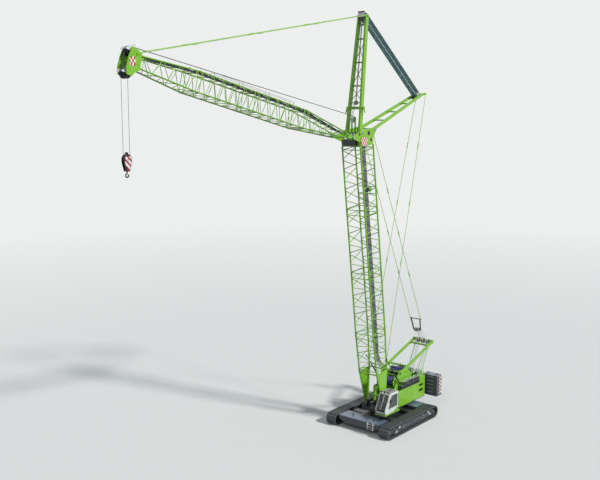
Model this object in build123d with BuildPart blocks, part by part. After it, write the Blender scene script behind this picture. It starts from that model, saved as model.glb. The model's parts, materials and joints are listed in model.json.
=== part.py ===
"""Crawler crane with an upright lattice boom and a luffing jib, in millimetres.

+X points forward, the way the jib reaches, +Y to the cab's side and +Z up. The origin is on the
ground, on the slewing axis.
"""
from build123d import *
import math
import os

os.makedirs("parts", exist_ok=True)

# ---------------------------------------------------------------- driving dimensions
# general clearances
seat_gap = 0.3            # between a piece and what carries it, where a face is curved
pin_clearance = 0.05      # radial, between a hinge pin and its bore
side_gap = 10.0           # beside an ear that turns between two lugs

# crawlers
track_centre = 3050.0     # slewing axis to the middle of a track
shoe_width = 1100.0
axle_spacing = 7720.0     # drive sprocket to front idler
track_height = 1180.0
shoe_thickness = 70.0
link_thickness = 80.0
shoe_gap = 45.0
shoe_count = 58
frame_half_width = 300.0  # inside of the cheek plates, from the middle of the track
cheek_thickness = 40.0
roller_radius = 120.0
roller_pitch = 560.0
roller_count = 11
carrier_radius = 80.0
carrier_pitch = 2000.0
axle_radius = 90.0

# car body
body_half_width = 900.0
body_bottom = 500.0
body_top = 1080.0
cross_beam_x = 1500.0     # middle of each cross beam from the slewing axis
cross_beam_width = 700.0
slab_front = 4050.0       # outer face of the end ballast slabs
slab_back = 2450.0
slab_half_width = 2330.0
slab_top = 1150.0
slab_bottom = 500.0
slab_end_bottom = 800.0
slab_flat_half = 1500.0
lifting_eye_radius = 40.0
lifting_eye_rise = 110.0  # bore's centre above the slab's top
lifting_lug_y = 1200.0
lifting_lug_half = 30.0
ladder_width = 640.0
ladder_y = 1450.0
ladder_depth = 240.0
ladder_bottom = 560.0
ladder_top = 1290.0
rung_radius = 18.0

# slewing ring
ring_radius = 1300.0
ring_split = 1240.0       # height of the gap between the fixed and the turning ring
deck_bottom = 1400.0

# turning frame
deck_top = 2000.0
beam_y = 560.0            # inner faces of the two main beams
beam_thickness = 120.0
deck_rear = -5300.0
deck_front = 1900.0
front_box_rear = 400.0
nose_half_width = 850.0
house_half_width = 1500.0
house_front = -500.0
house_bottom = 1450.0
house_top = 3100.0
wall = 40.0

# cab
cab_inner = 1180.0
cab_outer = 2300.0
cab_wall = 50.0
cab_floor = 1850.0
cab_base_rear = 600.0
cab_base_front = 3080.0
cab_base_bottom = 1600.0

# boom
boom_foot_x = 1300.0
boom_foot_z = 2000.0
boom_angle = 82.4
boom_half_width = 1000.0  # chord centre lines, across
boom_half_depth = 975.0   # chord centre lines, fore and aft
chord_diameter = 150.0
lacing_diameter = 70.0
fitting_ratio = 1.2       # diameter of a chord's end fitting over the chord's
base_plate_length = 3500.0
base_plate_half_depth = 825.0
base_length = 7200.0
section_length = 5980.0
section_count = 3
foot_pin_radius = 90.0
foot_ear_half = 40.0
lug_thickness = 100.0

# boom head, jib and its struts
jib_pin_x = 6600.0
jib_pin_z = 27700.0
jib_angle = 12.6
jib_pin_radius = 60.0
jib_half_width = 850.0
jib_half_depth = 735.0
jib_rise = 125.0          # middle of the full section above the line from the foot pin
jib_chord = 110.0
jib_lacing = 50.0
jib_foot_length = 6600.0
jib_mid_length = 6000.0
jib_mid_count = 2
jib_tip_start = 23500.0
jib_tip_half_width = 450.0
jib_tip_half_depth = 420.0
jib_tip_rise = 160.0
strut_foot_x = 5280.0
strut_foot_z = 28100.0
strut_head_x = 4000.0
strut_head_z = 38300.0
strut_foot_half = 700.0
strut_head_half = 380.0
rear_foot_x = 3300.0
rear_foot_z = 28400.0
rear_head_x = -5060.0
rear_head_z = 31500.0

# ---------------------------------------------------------------- directions and helpers
boom_cos, boom_sin = math.cos(math.radians(boom_angle)), math.sin(math.radians(boom_angle))
jib_cos, jib_sin = math.cos(math.radians(jib_angle)), math.sin(math.radians(jib_angle))
sides = (1, -1)           # left, right


def boom_point(along, front, side):
    """Point measured along the boom from its foot pin, in front of its axis and to the left."""
    return (boom_foot_x + along * boom_cos + front * boom_sin, side,
            boom_foot_z + along * boom_sin - front * boom_cos)


def jib_point(along, above, side):
    """Point measured along the jib from its foot pin, above its axis and to the left."""
    return (jib_pin_x + along * jib_cos - above * jib_sin, side,
            jib_pin_z + along * jib_sin + above * jib_cos)


def xz(point):
    """The x and z of a point, for an outline seen from the side."""
    return (point[0], point[2])


def block(x, y, z, mode=Mode.ADD):
    """Box between two limits on each axis."""
    with Locations(((x[0] + x[1]) / 2, (y[0] + y[1]) / 2, (z[0] + z[1]) / 2)):
        Box(x[1] - x[0], y[1] - y[0], z[1] - z[0], mode=mode)


def mirrored(side, inner, outer):
    """Limits in y from inner to outer, on the left (side 1) or the right (side -1)."""
    return (inner, outer) if side > 0 else (-outer, -inner)


def plate(outline, y, mode=Mode.ADD):
    """Upright plate: an outline of (x, z) corners filled between two values of y."""
    with BuildSketch(Plane.XZ.offset(-y[0])) as face:
        Polygon(*outline, align=None)
    extrude(face.sketch, amount=y[0] - y[1], mode=mode)


def cross_bars(places, y, radius, mode=Mode.ADD):
    """Round bars, drums or holes across the machine at (x, z) places, between two values of y."""
    with BuildSketch(Plane.XZ.offset(-y[0])) as face:
        with Locations(*places):
            Circle(radius)
    extrude(face.sketch, amount=y[0] - y[1], mode=mode)


def cross_bar(x, z, y, radius, mode=Mode.ADD):
    """One round bar, drum or hole across the machine."""
    cross_bars([(x, z)], y, radius, mode)


def beam(start, end, width, depth):
    """Rectangular bar from start to end: width across the machine, depth square to it."""
    run = Vector(*end) - Vector(*start)
    with BuildSketch(Plane(origin=start, x_dir=(0, 1, 0), z_dir=run)) as face:
        Rectangle(width, depth)
    extrude(face.sketch, amount=run.length)


def bar(start, end, diameter):
    """Round bar from start to end, as a loose solid."""
    run = Vector(*end) - Vector(*start)
    return Solid.make_cylinder(diameter / 2, run.length, Plane(origin=start, z_dir=run))


def lattice(point, first, last, bays, chord, lacing):
    """Four chords with zigzag lacing between two frames of a boom or jib, as loose solids.

    first and last hold along, half_depth, half_width and the rise of the frame's middle over
    the axis; point places them on the machine.
    Each chord ends in a fitting square to the axis, so that sections meet face to face. The
    lacings' ends stay apart on the chords, clear of each other and of the end frames.
    """
    length = last[0] - first[0]
    margin = 1.6 * chord / length
    apart = 0.5 * chord / length
    inner = 1 - 2 * margin

    def corner(t, depth_sign, width_sign):
        along, depth, width, rise = (a + (b - a) * t for a, b in zip(first, last))
        return point(along, rise + depth_sign * depth, width_sign * width)

    corners = ((-1, -1), (1, -1), (1, 1), (-1, 1))
    bars = []
    for depth_sign, width_sign in corners:
        sign = (depth_sign, width_sign)
        bars.append(bar(corner(margin / 2, *sign), corner(1 - margin / 2, *sign), chord))
        for (along, depth, width, rise), way in ((first, 1), (last, -1)):
            end = [point(a, rise + depth_sign * depth, width_sign * width)
                   for a in (along, along + way * chord)]
            bars.append(bar(*end, chord * fitting_ratio))
    for i in range(4):
        here, there = corners[i], corners[(i + 1) % 4]
        for t in (margin, 1 - margin):
            bars.append(bar(corner(t, *here), corner(t, *there), lacing))
        for k in range(2 * bays):
            low, high = (margin + inner * j / (2 * bays) for j in (k, k + 1))
            begin, finish = (here, there) if k % 2 == 0 else (there, here)
            bars.append(bar(corner(low + apart, *begin), corner(high - apart, *finish), lacing))
    return bars


def save_solid(part, name):
    """Label a finished piece and write its STEP file."""
    part.label = name
    export_step(part, f"parts/{name}.step")


def save(builder, name):
    """Write a piece that was built in its place."""
    save_solid(builder.part, name)


def save_pair(builder, name, offset):
    """Write a piece built on the middle plane twice: offset to the left and to the right."""
    for side, word in zip(sides, ("left", "right")):
        save_solid(builder.part.moved(Location((0, side * offset, 0))), f"{name}_{word}")


# ---------------------------------------------------------------- tracks
pitch_radius = track_height / 2 - shoe_thickness - link_thickness / 2
axle_height = track_height / 2
loop_length = 2 * axle_spacing + 2 * math.pi * pitch_radius
inner_radius = pitch_radius - link_thickness / 2


def loop_point(run, out):
    """Point on the track's loop: run goes round the pitch line, out is the distance outside it."""
    bend = math.pi * pitch_radius
    run = run % loop_length
    radius = pitch_radius + out
    if run < axle_spacing:
        return (run - axle_spacing / 2, axle_height + radius)
    if run < axle_spacing + bend:
        turn = math.pi / 2 - (run - axle_spacing) / pitch_radius
        return (axle_spacing / 2 + radius * math.cos(turn), axle_height + radius * math.sin(turn))
    if run < 2 * axle_spacing + bend:
        return (axle_spacing / 2 - (run - axle_spacing - bend), axle_height - radius)
    turn = -math.pi / 2 - (run - 2 * axle_spacing - bend) / pitch_radius
    return (-axle_spacing / 2 + radius * math.cos(turn), axle_height + radius * math.sin(turn))


shoe_pitch = loop_length / shoe_count
link_out = link_thickness / 2
shoe_out = link_out + shoe_thickness
loop_outline = []
for shoe in range(shoe_count):
    start = shoe * shoe_pitch + shoe_gap / 2
    stop = (shoe + 1) * shoe_pitch - shoe_gap / 2
    loop_outline += [loop_point(start, link_out), loop_point(start, shoe_out),
                     loop_point(stop, shoe_out), loop_point(stop, link_out)]

with BuildPart() as track:
    plate(loop_outline, (-shoe_width / 2, shoe_width / 2))
    with BuildSketch(Plane.XZ.offset(-shoe_width / 2)):
        with Locations((0, axle_height)):
            SlotCenterToCenter(axle_spacing, 2 * inner_radius)
    extrude(amount=shoe_width, mode=Mode.SUBTRACT)
save_pair(track, "track", track_centre)

# ---------------------------------------------------------------- track frames, rollers, wheels
wheel_radius = inner_radius - seat_gap
wheel_half = frame_half_width - seat_gap
frame_end = axle_spacing / 2 - wheel_radius - 150
frame_bottom = 400.0
frame_top = 860.0
cheek_out = frame_half_width + cheek_thickness
roller_z = axle_height - inner_radius + seat_gap + roller_radius
carrier_z = axle_height + inner_radius - seat_gap - carrier_radius
carrier_half = 200.0
roller_places = [((i - (roller_count - 1) / 2) * roller_pitch, roller_z)
                 for i in range(roller_count)]
carrier_places = [(i * carrier_pitch, carrier_z) for i in (-1, 0, 1)]
axle_places = [(-axle_spacing / 2, axle_height), (axle_spacing / 2, axle_height)]

with BuildPart() as track_frame:
    block((-frame_end, frame_end), (-cheek_out, cheek_out), (frame_bottom, frame_top))
    for inner, outer in ((-cheek_out, -frame_half_width), (frame_half_width, cheek_out)):
        block((-frame_end, frame_end), (inner, outer), (roller_z - 40, frame_bottom))
        block((-axle_spacing / 2, axle_spacing / 2), (inner, outer), (frame_bottom, frame_top - 60))
        cross_bars(axle_places, (inner, outer), 210)
    for x, z in carrier_places:
        for inner, outer in ((-carrier_half - 40, -carrier_half), (carrier_half, carrier_half + 40)):
            block((x - 90, x + 90), (inner, outer), (frame_top, z + 40))
    for face in (-cheek_out - 18, cheek_out):
        cross_bars(roller_places, (face, face + 18), 62)
save_pair(track_frame, "track_frame", track_centre)

with BuildPart() as track_rollers:
    for side in sides:
        middle = side * track_centre
        cross_bars(roller_places, (middle - wheel_half, middle + wheel_half), roller_radius)
        cross_bars(carrier_places, (middle - carrier_half + seat_gap, middle + carrier_half - seat_gap),
                   carrier_radius)
save(track_rollers, "track_rollers")


def track_wheels(x, rim):
    """Sprocket or idler of both tracks, between the cheek plates, dished inside its rim."""
    for side in sides:
        middle = side * track_centre
        cross_bar(x, axle_height, (middle - wheel_half, middle + wheel_half), wheel_radius)
        for low, high in ((-wheel_half, rim - wheel_half), (wheel_half - rim, wheel_half)):
            face = (middle + low, middle + high)
            cross_bar(x, axle_height, face, wheel_radius - rim, Mode.SUBTRACT)
            cross_bar(x, axle_height, face, axle_radius + 120)


with BuildPart() as drive_sprockets:
    track_wheels(-axle_spacing / 2, 90)
save(drive_sprockets, "drive_sprockets")

with BuildPart() as front_idlers:
    track_wheels(axle_spacing / 2, 60)
save(front_idlers, "front_idlers")

with BuildPart() as final_drives:
    for side in sides:
        inner = track_centre - cheek_out
        cross_bar(-axle_spacing / 2, axle_height, mirrored(side, inner - 300, inner), 230)
save(final_drives, "final_drives")

# ---------------------------------------------------------------- car body, ballast and ladder
frame_face = track_centre - cheek_out
with BuildPart() as car_body:
    block((-slab_back, slab_back), (-body_half_width, body_half_width), (body_bottom, body_top))
    for end in (-1, 1):
        x = end * cross_beam_x
        block((x - cross_beam_width / 2, x + cross_beam_width / 2), (-frame_face, frame_face),
              (body_bottom - 20, body_top - 90))
    with BuildSketch(Plane.XY.offset(body_top - 90)):
        Circle(ring_radius + 150)
    extrude(amount=90)
    with BuildSketch(Plane.XY.offset(body_top)):
        Circle(ring_radius)
        Circle(ring_radius - 260, mode=Mode.SUBTRACT)
    extrude(amount=ring_split - body_top)
save(car_body, "car_body")

slab_outline = [(-slab_half_width, slab_top), (-slab_half_width, slab_end_bottom),
                (-slab_flat_half, slab_bottom), (slab_flat_half, slab_bottom),
                (slab_half_width, slab_end_bottom), (slab_half_width, slab_top)]
with BuildPart() as ballast_slabs:
    for end in (1, -1):
        with BuildSketch(Plane.YZ.offset(slab_back if end > 0 else -slab_front)):
            Polygon(*slab_outline, align=None)
        extrude(amount=slab_front - slab_back)
        x = end * (slab_front + slab_back) / 2
        z = slab_top + lifting_eye_rise
        for y in (-lifting_lug_y, lifting_lug_y):
            limits = (y - lifting_lug_half, y + lifting_lug_half)
            block((x - 2 * lifting_eye_radius, x + 2 * lifting_eye_radius), limits, (slab_top, z))
            cross_bar(x, z, limits, 2 * lifting_eye_radius)
            cross_bar(x, z, limits, lifting_eye_radius, Mode.SUBTRACT)
save(ballast_slabs, "ballast_slabs")

with BuildPart() as access_ladder:
    for y in (ladder_y - ladder_width / 2, ladder_y + ladder_width / 2):
        block((slab_front, slab_front + ladder_depth), (y - 20, y + 20),
              (ladder_top - 260, ladder_top - 200))
        block((slab_front + ladder_depth - 60, slab_front + ladder_depth), (y - 20, y + 20),
              (ladder_bottom, ladder_top))
    for z in (ladder_bottom + 60, ladder_bottom + 300, ladder_bottom + 540):
        cross_bar(slab_front + ladder_depth - 30, z,
                  (ladder_y - ladder_width / 2, ladder_y + ladder_width / 2), rung_radius)
save(access_ladder, "access_ladder")

# ---------------------------------------------------------------- turning frame
ear_inner = boom_half_width - foot_ear_half
ear_outer = boom_half_width + foot_ear_half
lug_inner = (ear_inner - side_gap - lug_thickness, ear_inner - side_gap)
lug_outer = (ear_outer + side_gap, ear_outer + side_gap + lug_thickness)
frame_side = lug_outer[1]
lug_radius = 230.0
lug_foot = 1750.0
beam_outer = beam_y + beam_thickness
deck_floor = deck_bottom + wall
with BuildPart() as turning_frame:
    for side in sides:
        block((deck_rear, front_box_rear), mirrored(side, beam_y, beam_y + beam_thickness),
              (deck_bottom, deck_top))
        for limits in (lug_inner, lug_outer):
            block((front_box_rear, deck_front), mirrored(side, *limits), (deck_bottom, lug_foot))
            plate([(boom_foot_x - 600, lug_foot), (boom_foot_x - lug_radius, boom_foot_z),
                   (boom_foot_x + lug_radius, boom_foot_z), (boom_foot_x + 480, lug_foot)],
                  mirrored(side, *limits))
            cross_bar(boom_foot_x, boom_foot_z, mirrored(side, *limits), lug_radius)
        cross_bar(boom_foot_x, boom_foot_z, mirrored(side, lug_inner[0] - 20, lug_outer[1] + 20),
                  foot_pin_radius)
        block((deck_rear, house_front), mirrored(side, beam_outer, house_half_width),
              (deck_bottom, deck_floor))
        block((house_front, front_box_rear), mirrored(side, beam_outer, frame_side),
              (deck_bottom, deck_floor))
    block((front_box_rear - 60, deck_front), (-frame_side, frame_side), (deck_bottom, deck_floor))
    for x in (front_box_rear - 60, deck_front - 60):
        block((x, x + 60), (-frame_side, frame_side), (deck_bottom, lug_foot))
    block((deck_rear, front_box_rear), (-beam_y, beam_y), (deck_bottom, deck_floor))
    block((cab_base_rear, cab_base_front), (frame_side, cab_outer + 30), (cab_base_bottom, cab_floor))
    with BuildSketch(Plane.XY.offset(ring_split + seat_gap)):
        Circle(ring_radius - 60)
        Circle(ring_radius - 260, mode=Mode.SUBTRACT)
    extrude(amount=deck_bottom - ring_split - seat_gap)
save(turning_frame, "turning_frame")

# ---------------------------------------------------------------- house
hood_rear = -4300.0
hood_front = -1100.0
hood_inner = 1100.0
hood_top = 3450.0
louvre_rear = -4950.0
louvre_length = 760.0
louvre_openings = ((2700.0, 130.0), (2150.0, 170.0))  # bottom, height
with BuildPart() as house_walls:
    for side in sides:
        block((deck_rear, house_front),
              mirrored(side, house_half_width - wall, house_half_width), (deck_floor, house_top))
        for x in (deck_rear, house_front - wall):
            block((x, x + wall), mirrored(side, hood_inner, house_half_width),
                  (deck_floor, house_top))
        for z, height in louvre_openings:
            block((louvre_rear, louvre_rear + louvre_length),
                  mirrored(side, house_half_width - wall - 1, house_half_width + 1),
                  (z, z + height), Mode.SUBTRACT)
save(house_walls, "house_walls")

with BuildPart() as engine_hoods:
    for side in sides:
        block((hood_rear, hood_front), mirrored(side, hood_inner, house_half_width),
              (house_top, hood_top))
        block((hood_rear + wall, hood_front - wall),
              mirrored(side, hood_inner + wall, house_half_width - wall),
              (house_top, hood_top - wall), Mode.SUBTRACT)
save(engine_hoods, "engine_hoods")

cover_top = hood_top + 150
with BuildPart() as rear_cover:
    block((deck_rear, hood_rear - side_gap), (-house_half_width, house_half_width),
          (house_top, cover_top))
    block((deck_rear + wall, hood_rear - side_gap - wall),
          (-house_half_width + wall, house_half_width - wall),
          (house_top, cover_top - wall), Mode.SUBTRACT)
save(rear_cover, "rear_cover")

stack_x = -4800.0
stack_radius = 85.0
stacks = ((-1150.0, 750.0), (-850.0, 620.0))  # y, height
collar_radius = 130.0
collar_height = 110.0
with BuildPart() as exhaust_stacks:
    for y, stack_height in stacks:
        for height, radius in ((collar_height, collar_radius), (stack_height, stack_radius)):
            with BuildSketch(Plane.XY.offset(cover_top)) as stack:
                with Locations((stack_x, y)):
                    Circle(radius)
            extrude(stack.sketch, amount=height)
save(exhaust_stacks, "exhaust_stacks")

cleaner_place = (-4800.0, 950.0)
cleaner_radius = 240.0
cleaner_height = 340.0
cleaner_cap_radius = 270.0
cleaner_cap_height = 160.0
with BuildPart() as air_cleaner:
    for base, height, radius in ((cover_top, cleaner_height, cleaner_radius),
                                 (cover_top + cleaner_height, cleaner_cap_height,
                                  cleaner_cap_radius)):
        with BuildSketch(Plane.XY.offset(base)) as drum:
            with Locations(cleaner_place):
                Circle(radius)
        extrude(drum.sketch, amount=height)
save(air_cleaner, "air_cleaner")

house_rail_posts = (-4200.0, -3200.0, -2200.0, -1200.0)
house_rail_inset = 60.0
house_post_height = 900.0
house_post_diameter = 38.0
house_rail_rises = (450.0, 890.0)
house_rail_diameter = 34.0
with BuildPart() as house_rails:
    for side in sides:
        y = side * (house_half_width - house_rail_inset)
        for x in house_rail_posts:
            add([bar((x, y, hood_top), (x, y, hood_top + house_post_height), house_post_diameter)])
        for rise in house_rail_rises:
            add([bar((house_rail_posts[0], y, hood_top + rise),
                     (house_rail_posts[-1], y, hood_top + rise), house_rail_diameter)])
save(house_rails, "house_rails")

engine_rear_space = 150.0
engine_length = 1350.0
engine_right = -900.0
engine_side_space = 200.0
engine_top_space = 150.0
with BuildPart() as engine:
    block((deck_rear + engine_rear_space, deck_rear + engine_rear_space + engine_length),
          (engine_right, house_half_width - engine_side_space),
          (deck_top, house_top - engine_top_space))
save(engine, "engine")

# ---------------------------------------------------------------- winch tower
tower_inner = 940.0
tower_outer = 1000.0
gantry_foot = (-1500.0, 4650.0)
backstop_foot = (-1200.0, 3600.0)
winch_front = (-1000.0, 3780.0)
winch_rear = (-2800.0, 4250.0)
tower_outline = [(100, deck_floor), (100, 2500), (-450, 3150), (-950, 4200), (-1300, 4850),
                 (-1700, 4850), (-2050, 4450), (-3150, 4450), (-3500, 4050), (-3500, deck_floor)]
gantry_pin_radius = 70.0
with BuildPart() as winch_tower:
    for side in sides:
        plate(tower_outline, mirrored(side, tower_inner, tower_outer))
        cross_bar(*backstop_foot, mirrored(side, tower_outer, tower_outer + 260), 50)
    for x, z in ((-300, 2300), (-1900, 4080), (-2200, 2600), (-3300, 2300)):
        cross_bar(x, z, (-tower_inner, tower_inner), 90)
    cross_bar(*gantry_foot, (-tower_outer - 170, tower_outer + 170), gantry_pin_radius)
save(winch_tower, "winch_tower")

drum_half = tower_inner - seat_gap
with BuildPart() as winches:
    for (x, z), size in ((winch_front, 420), (winch_rear, 430)):
        cross_bar(x, z, (-drum_half, drum_half), 160)
        cross_bar(x, z, (-drum_half + 120, drum_half - 120), size)
        for flange in (-drum_half + 80, drum_half - 120):
            cross_bar(x, z, (flange, flange + 40), size + 120)
save(winches, "winches")

# ---------------------------------------------------------------- gantry
gantry_head = (-7250.0, 6550.0)
gantry_width = 140.0
gantry_leg_y = tower_outer + 20 + gantry_width / 2
rear_frame_y = 700.0
rear_frame_head = (-5700.0, 3700.0)
rear_pin_radius = 60.0
head_shaft_radius = 80.0
with BuildPart() as gantry:
    for side in sides:
        y = side * gantry_leg_y
        beam((gantry_foot[0], y, gantry_foot[1]), (gantry_head[0], y, gantry_head[1]),
             gantry_width, 260)
        ear = (y - gantry_width / 2, y + gantry_width / 2)
        cross_bar(*gantry_foot, ear, 170)
        cross_bar(*gantry_head, ear, 190)
        cross_bar(*gantry_foot, ear, gantry_pin_radius + pin_clearance, Mode.SUBTRACT)
    cross_bar(*gantry_head, (-gantry_leg_y, gantry_leg_y), head_shaft_radius)
    cross_bar(gantry_head[0] + 700, gantry_head[1] - 235, (-gantry_leg_y, gantry_leg_y), 100)
    cross_bar(gantry_head[0] + 4600, gantry_head[1] - 1520, (-gantry_leg_y, gantry_leg_y), 90)
    for side in sides:
        y = side * (rear_frame_y + 110)
        beam((rear_frame_head[0], y, rear_frame_head[1]), (gantry_head[0], y, gantry_head[1]), 30, 90)
        cross_bar(*rear_frame_head, (y - 15, y + 15), rear_pin_radius + 60)
        cross_bar(*rear_frame_head, (y - 15, y + 15), rear_pin_radius + seat_gap, Mode.SUBTRACT)
save(gantry, "gantry")


def sheaves(x, z, places, width, radius, shaft):
    """Sheaves on a shaft across the machine, at places along y."""
    for y in places:
        cross_bar(x, z, (y - width / 2, y + width / 2), radius)
    reach = max(places) + width
    cross_bar(x, z, (-reach, reach), shaft + seat_gap, Mode.SUBTRACT)


with BuildPart() as gantry_sheaves:
    sheaves(*gantry_head, (-620, -460, -80, 80, 460, 620), 70, 300, head_shaft_radius)
    sheaves(*rear_frame_head, (-420, -260, 260, 420), 70, 250, rear_pin_radius)
save(gantry_sheaves, "gantry_sheaves")

# ---------------------------------------------------------------- counterweight
ballast_rear = -6800.0
ballast_front = -5900.0
ballast_bottom = 1370.0
ballast_top = 3500.0
ballast_half = 2570.0
ballast_inner = 900.0
tray_top = 1560.0
slab_count = 5
joint_half = 9.0
joint_depth = 25.0
pocket_y = (1350.0, 2150.0)
pocket_z = (110.0, 270.0)
pocket_depth = 60.0
lift_studs = [(x, y) for x in (-6550.0, -6150.0) for y in (1250.0, 2200.0)]
stud_radius = 60.0
stud_height = 110.0
layer = (ballast_top - tray_top) / slab_count
with BuildPart() as counterweight:
    block((ballast_rear, deck_rear), (-ballast_inner + 20, ballast_inner - 20),
          (ballast_bottom, tray_top))
    block((ballast_rear, ballast_front), (-ballast_half, ballast_half), (ballast_bottom, tray_top))
    for side in sides:
        block((ballast_rear, ballast_front), mirrored(side, ballast_inner, ballast_half),
              (tray_top, ballast_top))
        for k in range(slab_count):
            z = tray_top + k * layer
            block((ballast_front - pocket_depth, ballast_front + 1), mirrored(side, *pocket_y),
                  (z + pocket_z[0], z + pocket_z[1]), Mode.SUBTRACT)
        for k in range(1, slab_count):
            z = tray_top + k * layer
            block((ballast_rear - 1, ballast_rear + joint_depth),
                  mirrored(side, ballast_inner, ballast_half),
                  (z - joint_half, z + joint_half), Mode.SUBTRACT)
            block((ballast_rear, ballast_front - pocket_depth),
                  mirrored(side, ballast_half - joint_depth, ballast_half + 1),
                  (z - joint_half, z + joint_half), Mode.SUBTRACT)
        with BuildSketch(Plane.XY.offset(ballast_top)) as studs:
            with Locations(*((x, side * y) for x, y in lift_studs)):
                Circle(stud_radius)
        extrude(studs.sketch, amount=stud_height)
save(counterweight, "counterweight")

with BuildPart() as rear_frame:
    for side in sides:
        plate([(deck_rear, tray_top), (deck_rear, 2900), (-5500, 3850), (-5900, 3850),
               (-6300, 2800), (-6300, tray_top)], mirrored(side, rear_frame_y, rear_frame_y + 60))
    cross_bar(*rear_frame_head, (-rear_frame_y - 140, rear_frame_y + 140), rear_pin_radius)
    cross_bar(-5900, 2700, (-rear_frame_y, rear_frame_y), 80)
save(rear_frame, "rear_frame")

# ---------------------------------------------------------------- cab
cab_outline = [(820, cab_floor), (2930, cab_floor), (3020, 2250), (2260, 3680), (820, 3680)]
cab_hollow = [(870, cab_floor + 50), (2890, cab_floor + 50), (2964, 2241), (2230, 3630), (870, 3630)]
door_gap = 6.0
door_outline = [(900, 1960), (2330, 1960), (2450, 2200), (2450, 2500), (2010, 3560), (900, 3560)]
door_window = [(990, 2300), (2350, 2300), (2350, 2480), (1950, 3470), (990, 3470)]
hinge_x = 880.0
hinge_y = cab_outer + 34
hinge_radius = 14.0
with BuildPart() as cab_shell:
    plate(cab_outline, (cab_inner, cab_outer))
    plate(cab_hollow, (cab_inner + cab_wall, cab_outer - cab_wall), Mode.SUBTRACT)
    with BuildSketch(Plane.XZ.offset(-cab_outer - 1)) as opening:
        Polygon(*door_outline, align=None)
        offset(amount=door_gap, kind=Kind.INTERSECTION)
    extrude(opening.sketch, amount=cab_wall + 2, mode=Mode.SUBTRACT)
    plate([(1000, 2350), (1950, 2350), (1950, 3550), (1000, 3550)],
          (cab_inner - 1, cab_inner + cab_wall + 1), Mode.SUBTRACT)
    plate([(2500, 2050), (3200, 2050), (3200, 2350), (2400, 3560), (2100, 3560)],
          (cab_inner + 90, cab_outer - 90), Mode.SUBTRACT)
    plate([(780, 2500), (890, 2500), (890, 3500), (780, 3500)],
          (cab_inner + 150, cab_outer - 150), Mode.SUBTRACT)
    plate([(1200, 3600), (1900, 3600), (1900, 3700), (1200, 3700)],
          (cab_inner + 200, cab_outer - 200), Mode.SUBTRACT)
    for z in (2080, 3380):
        with BuildSketch(Plane.XY.offset(z)) as knuckle:
            with Locations((hinge_x, hinge_y)):
                Circle(32)
            with Locations((hinge_x, (hinge_y + cab_outer) / 2)):
                Rectangle(40, hinge_y - cab_outer)
        extrude(knuckle.sketch, amount=80)
        with BuildSketch(Plane.XY.offset(z)) as pin:
            with Locations((hinge_x, hinge_y)):
                Circle(hinge_radius)
        extrude(pin.sketch, amount=160)
save(cab_shell, "cab_shell")

with BuildPart() as cab_door:
    plate(door_outline, (cab_outer - cab_wall, cab_outer))
    plate(door_window, (cab_outer - cab_wall - 1, cab_outer + 1), Mode.SUBTRACT)
    for z in (2080, 3380):
        with BuildSketch(Plane.XY.offset(z + 82)) as strap:
            with Locations((hinge_x, hinge_y)):
                Circle(32)
            with Locations((hinge_x + 60, hinge_y - 12)):
                Rectangle(120, 40)
        extrude(strap.sketch, amount=76)
        block((hinge_x + 60, hinge_x + 120), (cab_outer, hinge_y), (z + 82, z + 158))
        with BuildSketch(Plane.XY.offset(z + 80)) as bore:
            with Locations((hinge_x, hinge_y)):
                Circle(hinge_radius + pin_clearance)
        extrude(bore.sketch, amount=80, mode=Mode.SUBTRACT)
save(cab_door, "cab_door")

with BuildPart() as operator_seat:
    block((1150, 1700), (1480, 2000), (cab_floor + 50, 2330))
    block((1150, 1300), (1500, 1980), (2330, 3050))
    block((2250, 2500), (1560, 1920), (cab_floor + 50, 2500))
save(operator_seat, "operator_seat")

# ---------------------------------------------------------------- boom
backstop_eye = boom_point(4530, -700, 0)
edge_start = 420.0
edge_half = 180 + (base_plate_half_depth - 180) * edge_start / base_plate_length
stay_seat = 4480.0
base_depth_at_stay = base_plate_half_depth + (boom_half_depth - base_plate_half_depth) * (
    (stay_seat - base_plate_length) / (base_length - base_plate_length))
stay_front = base_depth_at_stay + chord_diameter / 2 + 60
with BuildPart() as boom_base:
    for side in sides:
        limits = mirrored(side, boom_half_width - 20, boom_half_width + 20)
        plate([xz(boom_point(0, -180, 0)), xz(boom_point(0, 180, 0)),
               xz(boom_point(base_plate_length, base_plate_half_depth, 0)),
               xz(boom_point(base_plate_length, -base_plate_half_depth, 0))], limits)
        cross_bar(boom_foot_x, boom_foot_z, mirrored(side, ear_inner, ear_outer), 200)
        y = side * boom_half_width
        add([bar(boom_point(edge_start, face * edge_half, y),
                 boom_point(base_plate_length, face * base_plate_half_depth, y), chord_diameter)
             for face in (-1, 1)])
        block_points = [boom_point(a, f, 0) for a, f in (
            (stay_seat - 90, -base_depth_at_stay), (stay_seat, -base_depth_at_stay),
            (stay_seat, -stay_front - 60), (stay_seat - 90, -stay_front - 60))]
        plate([xz(p) for p in block_points], mirrored(side, boom_half_width - 30, boom_half_width + 30))
        cross_bar(boom_foot_x, boom_foot_z, mirrored(side, ear_inner - 90, ear_outer + 90),
                  foot_pin_radius + pin_clearance, Mode.SUBTRACT)
    add([bar(boom_point(along, front, -boom_half_width), boom_point(along, front, boom_half_width), 120)
         for along, front in ((900, 0), (base_plate_length - 60, -800), (base_plate_length - 60, 800))])
    add(lattice(boom_point, (base_plate_length, base_plate_half_depth, boom_half_width, 0),
                (base_length, boom_half_depth, boom_half_width, 0), 2, chord_diameter,
                lacing_diameter))
save(boom_base, "boom_base")

for k in range(section_count):
    low_end = base_length + k * section_length
    with BuildPart() as boom_section:
        add(lattice(boom_point, (low_end, boom_half_depth, boom_half_width, 0),
                    (low_end + section_length, boom_half_depth, boom_half_width, 0), 3,
                    chord_diameter, lacing_diameter))
    save(boom_section, f"boom_section_{k + 1}")

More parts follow.
